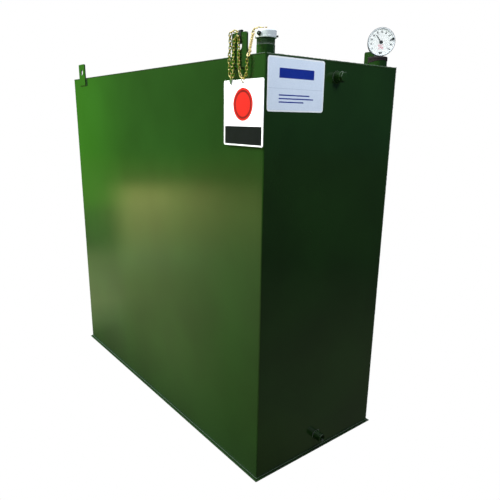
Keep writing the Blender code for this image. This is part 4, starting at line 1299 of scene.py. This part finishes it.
clip_low, clip_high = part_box("chain_end_clip")
clip_middle = (clip_low + clip_high) / 2
pear = [(-CLIP_NOSE, -CLIP_LENGTH), (CLIP_NOSE, -CLIP_LENGTH), (CLIP_WAIST, -CLIP_LENGTH / 3),
        (CLIP_WAIST, 0), (-CLIP_WAIST, 0), (-CLIP_WAIST, -CLIP_LENGTH / 3)]
clip = flat_plate("chain_clip", [pear], clip_high.y - clip_low.y, SMALL_ROUND, zinc,
                  axes((clip_middle.x, clip_middle.y, clip_high.z), (1, 0, 0), (0, 0, 1)))
fit(clip, "zinc_clip", "chain_end_clip")
print("clip", in_mm(clip), "mm")

# %% [markdown]
# ## Hanging tag
# The tag is a sheet of white PVC, printed in red and black. The print here is a plain red disc with a
# darker ring, over a plain black band.

# %% Tag
TAG_CORNER = 0.006
TAG_HOLE = 0.003
TAG_HOLE_DROP = 0.009
DISC_RADIUS = 0.048
DISC_DROP = 0.072
HOOP_OUTSIDE = DISC_RADIUS - 0.006
HOOP_INSIDE = DISC_RADIUS - 0.012
BAND_MARGIN = 0.0065
BAND_FOOT = 0.0046
BAND_HEIGHT = 0.054
FILM_EDGE = 0.00002


def printed(name, outlines, ink, place):
    """A thin film of ink or vinyl on a sheet."""
    return flat_plate(name, outlines, INK, FILM_EDGE, ink, place)


tag_low, tag_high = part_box("tag_plate")
tag_middle = (tag_low + tag_high) / 2
on_tag = axes((tag_middle.x, tag_middle.y, tag_high.z), (1, 0, 0), (0, 0, 1))
half = (tag_high.x - tag_low.x) / 2
height = tag_high.z - tag_low.z
thickness = tag_high.y - tag_low.y
outlines = [rounded_box((-half, -height), (half, 0), TAG_CORNER), circle((0, -TAG_HOLE_DROP), TAG_HOLE, 24)]
tag = flat_plate("tag_sheet", outlines, thickness, SMALL_ROUND, tag_white, on_tag)
fit(tag, "tag_white", "tag_plate")
on_print = on_tag @ raised(thickness / 2 + INK / 2)
disc_middle = (0, -DISC_DROP)
disc = printed("tag_disc", [arc(disc_middle, DISC_RADIUS, 0, 360, 64)[:-1]], ink_red, on_print)
rings = [arc(disc_middle, HOOP_OUTSIDE, 0, 360, 64)[:-1], circle(disc_middle, HOOP_INSIDE, 64)]
hoop = printed("tag_hoop", rings, ink_dark_red, on_print @ raised(INK))
band_low = (-half + BAND_MARGIN, -height + BAND_FOOT)
band_high = (half - BAND_MARGIN, -height + BAND_FOOT + BAND_HEIGHT)
band = printed("tag_band", [rounded_box(band_low, band_high, 0.001, 2)], ink_black, on_print)
for piece in (disc, hoop, band):
    fit(piece, "tag_white")
print("tag", in_mm(tag), "mm")

# %% [markdown]
# ## Sticker on the end
# A vinyl sticker with a pale blue field in a white border. It was laid in two strokes, which left a fine
# crease across it; the crease is drawn as a darker strip, painted shade of its fold. The print is a plain
# bar and three rules.

# %% Sticker
LABEL_CORNER = 0.009
BORDER = 0.0045
CREASE_SHARE = 0.42
CREASE_WIDTH = 0.0012
RULE_LEFT = -0.072
BAR = (0.096, 0.124, 0.072)
RULES = [(0.046, 0.0495, 0.055), (0.036, 0.0395, 0.072), (0.026, 0.0295, 0.030)]

label_low, label_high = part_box("end_label")
thickness = label_high.x - label_low.x
half = (label_high.y - label_low.y) / 2
height = label_high.z - label_low.z
label_middle = (label_low.x + thickness / 2, (label_low.y + label_high.y) / 2, label_low.z)
on_label = axes(label_middle, (0, 1, 0), (0, 0, 1))
edge = rounded_box((-half, 0), (half, height), LABEL_CORNER)
sheet = flat_plate("sticker_border", [edge], thickness, FINE_ROUND, vinyl_border, on_label)
fit(sheet, "label_vinyl", "end_label")
on_field = on_label @ raised(thickness / 2 + INK / 2)
on_ink = on_field @ raised(INK)
left, right, crease_foot = BORDER - half, half - BORDER, BORDER + (height - 2 * BORDER) * CREASE_SHARE
field = [rounded_box((left, BORDER), (right, height - BORDER), LABEL_CORNER - 0.003)]
fit(printed("sticker_field", field, vinyl_blue, on_field), "label_vinyl")
# The crease is a darker strip of film: painted shade of the fold.
crease = [rounded_box((left, crease_foot), (right, crease_foot + CREASE_WIDTH), 0.0004, 2)]
fit(printed("sticker_crease", crease, vinyl_crease_shade, on_ink), "label_vinyl")
bars = [printed("sticker_bar", [rounded_box((RULE_LEFT, foot), (end, head), 0.0012, 3)], ink_blue, on_ink)
        for foot, head, end in [BAR, *RULES]]
fit(joined("sticker_print", bars), "label_vinyl")
print("sticker", in_mm(sheet), "mm")

# %% [markdown]
# ## Floor and what the paint mirrors
# The picture's ground and background are plain white, but gloss paint still mirrors what is round the
# tank: a dim strip at its foot, paler ground for a few metres, and green beyond. So the floor glows with
# one tone for the eye, another for the light it sends up, and a third for mirrored rays. That third tone
# changes with the distance from the tank and differs to the front, left and right, and behind the tank it
# is dark. The dim strip at the foot and the dark side away from the key light are painted shadow of the
# tank, since a glowing floor takes no shadow. The borders between the three run from one point, so that
# they stand upright in the mirror image. Colours are linear light here, since they are strengths and not
# paints.

# %% Mirrored tones
FLOOR_GLOW = 1.5
FLOOR_SEEN = (0.6667, 0.6667, 0.6667, 1)
FLOOR_BOUNCE = (0.15, 0.155, 0.14, 1)
FRONT_TONES = [(0.0, (0.08, 0.11, 0.045)), (0.3, (0.24, 0.31, 0.115)), (0.7, (0.34, 0.42, 0.16)),
               (1.0, (0.37, 0.46, 0.17)), (1.7, (0.50, 0.63, 0.25)), (3.0, (0.77, 0.82, 0.28)),
               (5.2, (1.20, 1.22, 0.39)), (6.3, (1.05, 1.08, 0.31)), (7.8, (0.30, 0.40, 0.08)),
               (10.0, (0.167, 0.333, 0.033)), (14.0, (0.087, 0.287, 0.016))]
LEFT_TONES = [(0.0, (0.08, 0.10, 0.045)), (0.25, (0.25, 0.33, 0.14)), (0.6, (0.40, 0.49, 0.21)),
              (1.1, (0.38, 0.47, 0.20)), (1.7, (0.32, 0.41, 0.16)), (2.4, (0.12, 0.23, 0.06)),
              (4.0, (0.11, 0.28, 0.045)), (5.2, (0.13, 0.46, 0.03)), (13.0, (0.123, 0.50, 0.016))]
RIGHT_TONES = [(0.0, (0.04, 0.045, 0.02)), (0.3, (0.10, 0.12, 0.04)), (0.6, (0.15, 0.20, 0.065)),
               (1.0, (0.23, 0.30, 0.105)), (2.0, (0.34, 0.49, 0.15)), (2.7, (0.42, 0.52, 0.16)),
               (4.0, (0.57, 0.67, 0.19)), (5.8, (0.55, 0.58, 0.16)), (7.8, (0.19, 0.22, 0.03)),
               (14.0, (0.12, 0.25, 0.02))]
# SHADE_NEAR and SHADE_FAR are painted shadow of the tank, on the floor's side away from the key light.
SHADE_NEAR = (0.075, 0.08, 0.06, 1)
SHADE_FAR = (0.02, 0.015, 0.025, 1)
FLOOR_REACH = 14.0
HALF_PLAN = (0.76, 0.31, 0)
BORDERS_FROM = (1.916, 0.669, 0)
RIGHT_BORDER = (0.57, 0.74)
LEFT_BORDER = (0.455, 0.425)
BRIGHT_SIDE = (-0.40, -0.917, 0)


def fade(tree, value, between, first, second, most=1.0):
    """One colour, and another where a value passes from the first to the second of two limits."""
    share = add_node(tree, "ShaderNodeMapRange", {
        "Value": value, "From Min": between[0], "From Max": between[1], "To Max": most}).outputs[0]
    return add_node(tree, "ShaderNodeMix", {0: share, 6: first, 7: second}, data_type="RGBA").outputs[2]


def by_ray(tree, sent_out, mirrored, seen):
    """One tone for the light that is sent out, one for mirrored rays and one for the eye."""
    ray = add_node(tree, "ShaderNodeLightPath").outputs
    tone = sent_out
    for kind, other in (("Is Glossy Ray", mirrored), ("Is Camera Ray", seen)):
        tone = add_node(tree, "ShaderNodeMix", {
            0: ray[kind], 6: tone, 7: other}, data_type="RGBA").outputs[2]
    return tone


def tone_ramp(tree, distance, stops):
    """Colour by distance in metres."""
    factor = add_node(tree, "ShaderNodeMapRange", {"Value": distance, "From Max": FLOOR_REACH}).outputs[0]
    node = add_node(tree, "ShaderNodeValToRGB", {"Fac": factor})
    points = node.color_ramp.elements
    for point, (metres, tone) in zip(points, (stops[0], stops[-1])):
        point.position = metres / FLOOR_REACH
        point.color = (*tone, 1)
    for metres, tone in stops[1:-1]:
        points.new(metres / FLOOR_REACH).color = (*tone, 1)
    return node.outputs["Color"]


# %% Floor
def mirrored_floor(tree, place):
    """The tones that the paint mirrors in the floor, by place."""
    beyond = place
    for operation, other in (("ABSOLUTE", (0, 0, 0)), ("SUBTRACT", HALF_PLAN), ("MAXIMUM", (0, 0, 0))):
        beyond = add_node(tree, "ShaderNodeVectorMath", {
            0: beyond, 1: other}, operation=operation).outputs[0]
    reach = add_node(tree, "ShaderNodeVectorMath", {0: beyond}, operation="LENGTH").outputs["Value"]
    run = add_node(tree, "ShaderNodeVectorMath", {
        0: BORDERS_FROM, 1: place}, operation="SUBTRACT").outputs[0]
    run = add_node(tree, "ShaderNodeSeparateXYZ", {0: run}).outputs
    slope = add_node(tree, "ShaderNodeMath", {0: run["Y"], 1: run["X"]}, operation="DIVIDE").outputs[0]
    front, left, right = (tone_ramp(tree, reach, tones) for tones in (FRONT_TONES, LEFT_TONES, RIGHT_TONES))
    ground = fade(tree, slope, RIGHT_BORDER, front, right)
    ground = fade(tree, slope, LEFT_BORDER, ground, left)
    # The dark tone near the foot and on the side away from the key is painted shadow of the tank.
    shade = fade(tree, reach, (0.6, 2.5), SHADE_NEAR, SHADE_FAR)
    towards = add_node(tree, "ShaderNodeVectorMath", {0: place, 1: BRIGHT_SIDE}, operation="DOT_PRODUCT")
    return fade(tree, towards.outputs["Value"], (0.2, -0.5), ground, shade)


def studio_floor():
    work = bmesh.new()
    bmesh.ops.create_grid(work, x_segments=1, y_segments=1, size=FLOOR_REACH)
    mesh = mesh_from("floor", work)
    material = bpy.data.materials.new("studio_floor")
    material.use_nodes = True
    tree = material.node_tree
    tree.nodes.clear()
    place = add_node(tree, "ShaderNodeTexCoord").outputs["Object"]
    tone = by_ray(tree, FLOOR_BOUNCE, mirrored_floor(tree, place), FLOOR_SEEN)
    glow = add_node(tree, "ShaderNodeEmission", {"Color": tone, "Strength": FLOOR_GLOW}).outputs[0]
    add_node(tree, "ShaderNodeOutputMaterial", {"Surface": glow})
    mesh.materials.append(material)
    floor = loose_object("floor", mesh)
    return floor


floor = studio_floor()
print("floor", round(floor.dimensions.x), "m wide,", len(floor.data.materials[0].node_tree.nodes), "nodes")

# %% [markdown]
# ## World
# The sky is white to the eye. To mirrored rays it is green near the horizon, brighter green on the left,
# pale above, dark on the side behind the tank, and brightest overhead.

# %% World
SKY_LIGHT = (0.30, 0.31, 0.33, 1)
WHITE = (1, 1, 1, 1)
UNLIT = (0, 0, 0, 1)
HORIZON_DARK = (0.02, 0.03, 0.06, 1)
HORIZON_GREEN = (0.09, 0.34, 0.018, 1)
HORIZON_LEFT = (0.17, 0.85, 0.02, 1)
SKY_DIM = (0.40, 0.43, 0.48, 1)
SKY_BRIGHT = (1.0, 1.08, 1.15, 1)
ZENITH = (2.4, 2.6, 2.75, 1)
DARK_WAY = (-0.785, 0.62, 0)
BRIGHT_EDGES = (-0.1, 0.5)


def studio_world():
    """White to the eye. What the gloss mirrors is green near the horizon and pale overhead."""
    world = bpy.data.worlds.new("studio")
    bpy.context.scene.world = world
    world.use_nodes = True
    tree = world.node_tree
    tree.nodes.clear()
    way = add_node(tree, "ShaderNodeTexCoord").outputs["Generated"]
    parts = add_node(tree, "ShaderNodeSeparateXYZ", {0: way}).outputs
    bright, dark = (add_node(tree, "ShaderNodeVectorMath", {
        0: way, 1: side}, operation="DOT_PRODUCT").outputs["Value"] for side in (BRIGHT_SIDE, DARK_WAY))
    green = fade(tree, parts["X"], (-0.91, -0.925), HORIZON_GREEN, HORIZON_LEFT)
    horizon = fade(tree, bright, BRIGHT_EDGES, HORIZON_DARK, green)
    sky = fade(tree, bright, BRIGHT_EDGES, SKY_DIM, SKY_BRIGHT)
    mirrored = fade(tree, parts["Z"], (0.20, 0.42), horizon, sky)
    mirrored = fade(tree, dark, (0.55, 0.9), mirrored, UNLIT, 0.85)
    mirrored = fade(tree, parts["Z"], (0.45, 0.75), mirrored, ZENITH)
    tone = by_ray(tree, SKY_LIGHT, mirrored, WHITE)
    back = add_node(tree, "ShaderNodeBackground", {"Color": tone, "Strength": 1.0}).outputs[0]
    add_node(tree, "ShaderNodeOutputWorld", {"Surface": back})
    return world


print("world", len(studio_world().node_tree.nodes), "nodes")

# %% [markdown]
# ## Lights
# A broad light from the front left models the long side, and leaves the near end in half shade. A small
# one high on the right lights that end from above, so the plug throws a soft shadow down it. Three more
# serve the far sides and the top. The dial lies deep in its ring, where these would leave a grainy shadow,
# so all of them are linked to miss it, and a lamp of its own lights it from the front. The lamps stay out
# of the gloss, and one weak light does the opposite: it adds only a glint on beads and links.


# %% Lights
def soft_light(name, place, aim, size, power, tint="#ffffff", glint=False):
    data = bpy.data.lights.new(name, "AREA")
    data.shape = "RECTANGLE"
    data.size, data.size_y = size
    data.energy = power
    data.color = linear(tint)[:3]
    light = loose_object(name, data)
    turn = (Vector(aim) - Vector(place)).to_track_quat("-Z", "Y").to_matrix().to_4x4()
    light.matrix_world = Matrix.Translation(place) @ turn
    light.visible_glossy = glint
    light.visible_diffuse = not glint
    return light


def link_light(light, pieces, state):
    """INCLUDE lets a light reach only these pieces, EXCLUDE lets it reach all but these."""
    group = bpy.data.collections.new(light.name + "_linked")
    for piece in pieces:
        group.objects.link(piece)
    for item in group.collection_objects:
        item.light_linking.link_state = state
    light.light_linking.receiver_collection = group


MIDDLE = (0, 0, TOP / 2)
END_TOP = (0.76, 0.0, 1.35)
FRONT_LEFT = (-1.3, -3.3, 3.2)
BROAD = (2.6, 2.0)
DIAL_LAMP_PLACE = DIAL_CENTRE + gauge_front * 0.6 + Vector((0, 0, 0.05))

dial_face = [item for item in bpy.data.objects
             if item.name in ("gauge_dial_plate", "gauge_recess_wall") or item.name.startswith("dial_")
             and item.name not in NODES]
dial_light = soft_light("dial", DIAL_LAMP_PLACE, DIAL_CENTRE, (0.3, 0.3), 2.7)
link_light(dial_light, dial_face, "INCLUDE")
print("dial light reaches", [item.name for item in dial_face])
wide_lights = [
    soft_light("key", FRONT_LEFT, MIDDLE, BROAD, 390),
    soft_light("end", (1.7, 0.0, 2.0), END_TOP, (0.4, 0.4), 9.0, "#e8f2ff"),
    soft_light("rear", (-1.2, 3.6, 3.4), MIDDLE, BROAD, 150),
    soft_light("top", (0.0, 0.0, 4.2), (0, 0, 0), (3.0, 3.0), 110),
    soft_light("far_end", (-3.6, 0.4, 3.2), MIDDLE, (2.0, 2.0), 120)]
for light in wide_lights:
    link_light(light, dial_face, "EXCLUDE")
soft_light("glint", FRONT_LEFT, MIDDLE, BROAD, 60, glint=True)
bpy.context.scene.view_settings.view_transform = "Standard"
print("lights", len(bpy.data.lights))
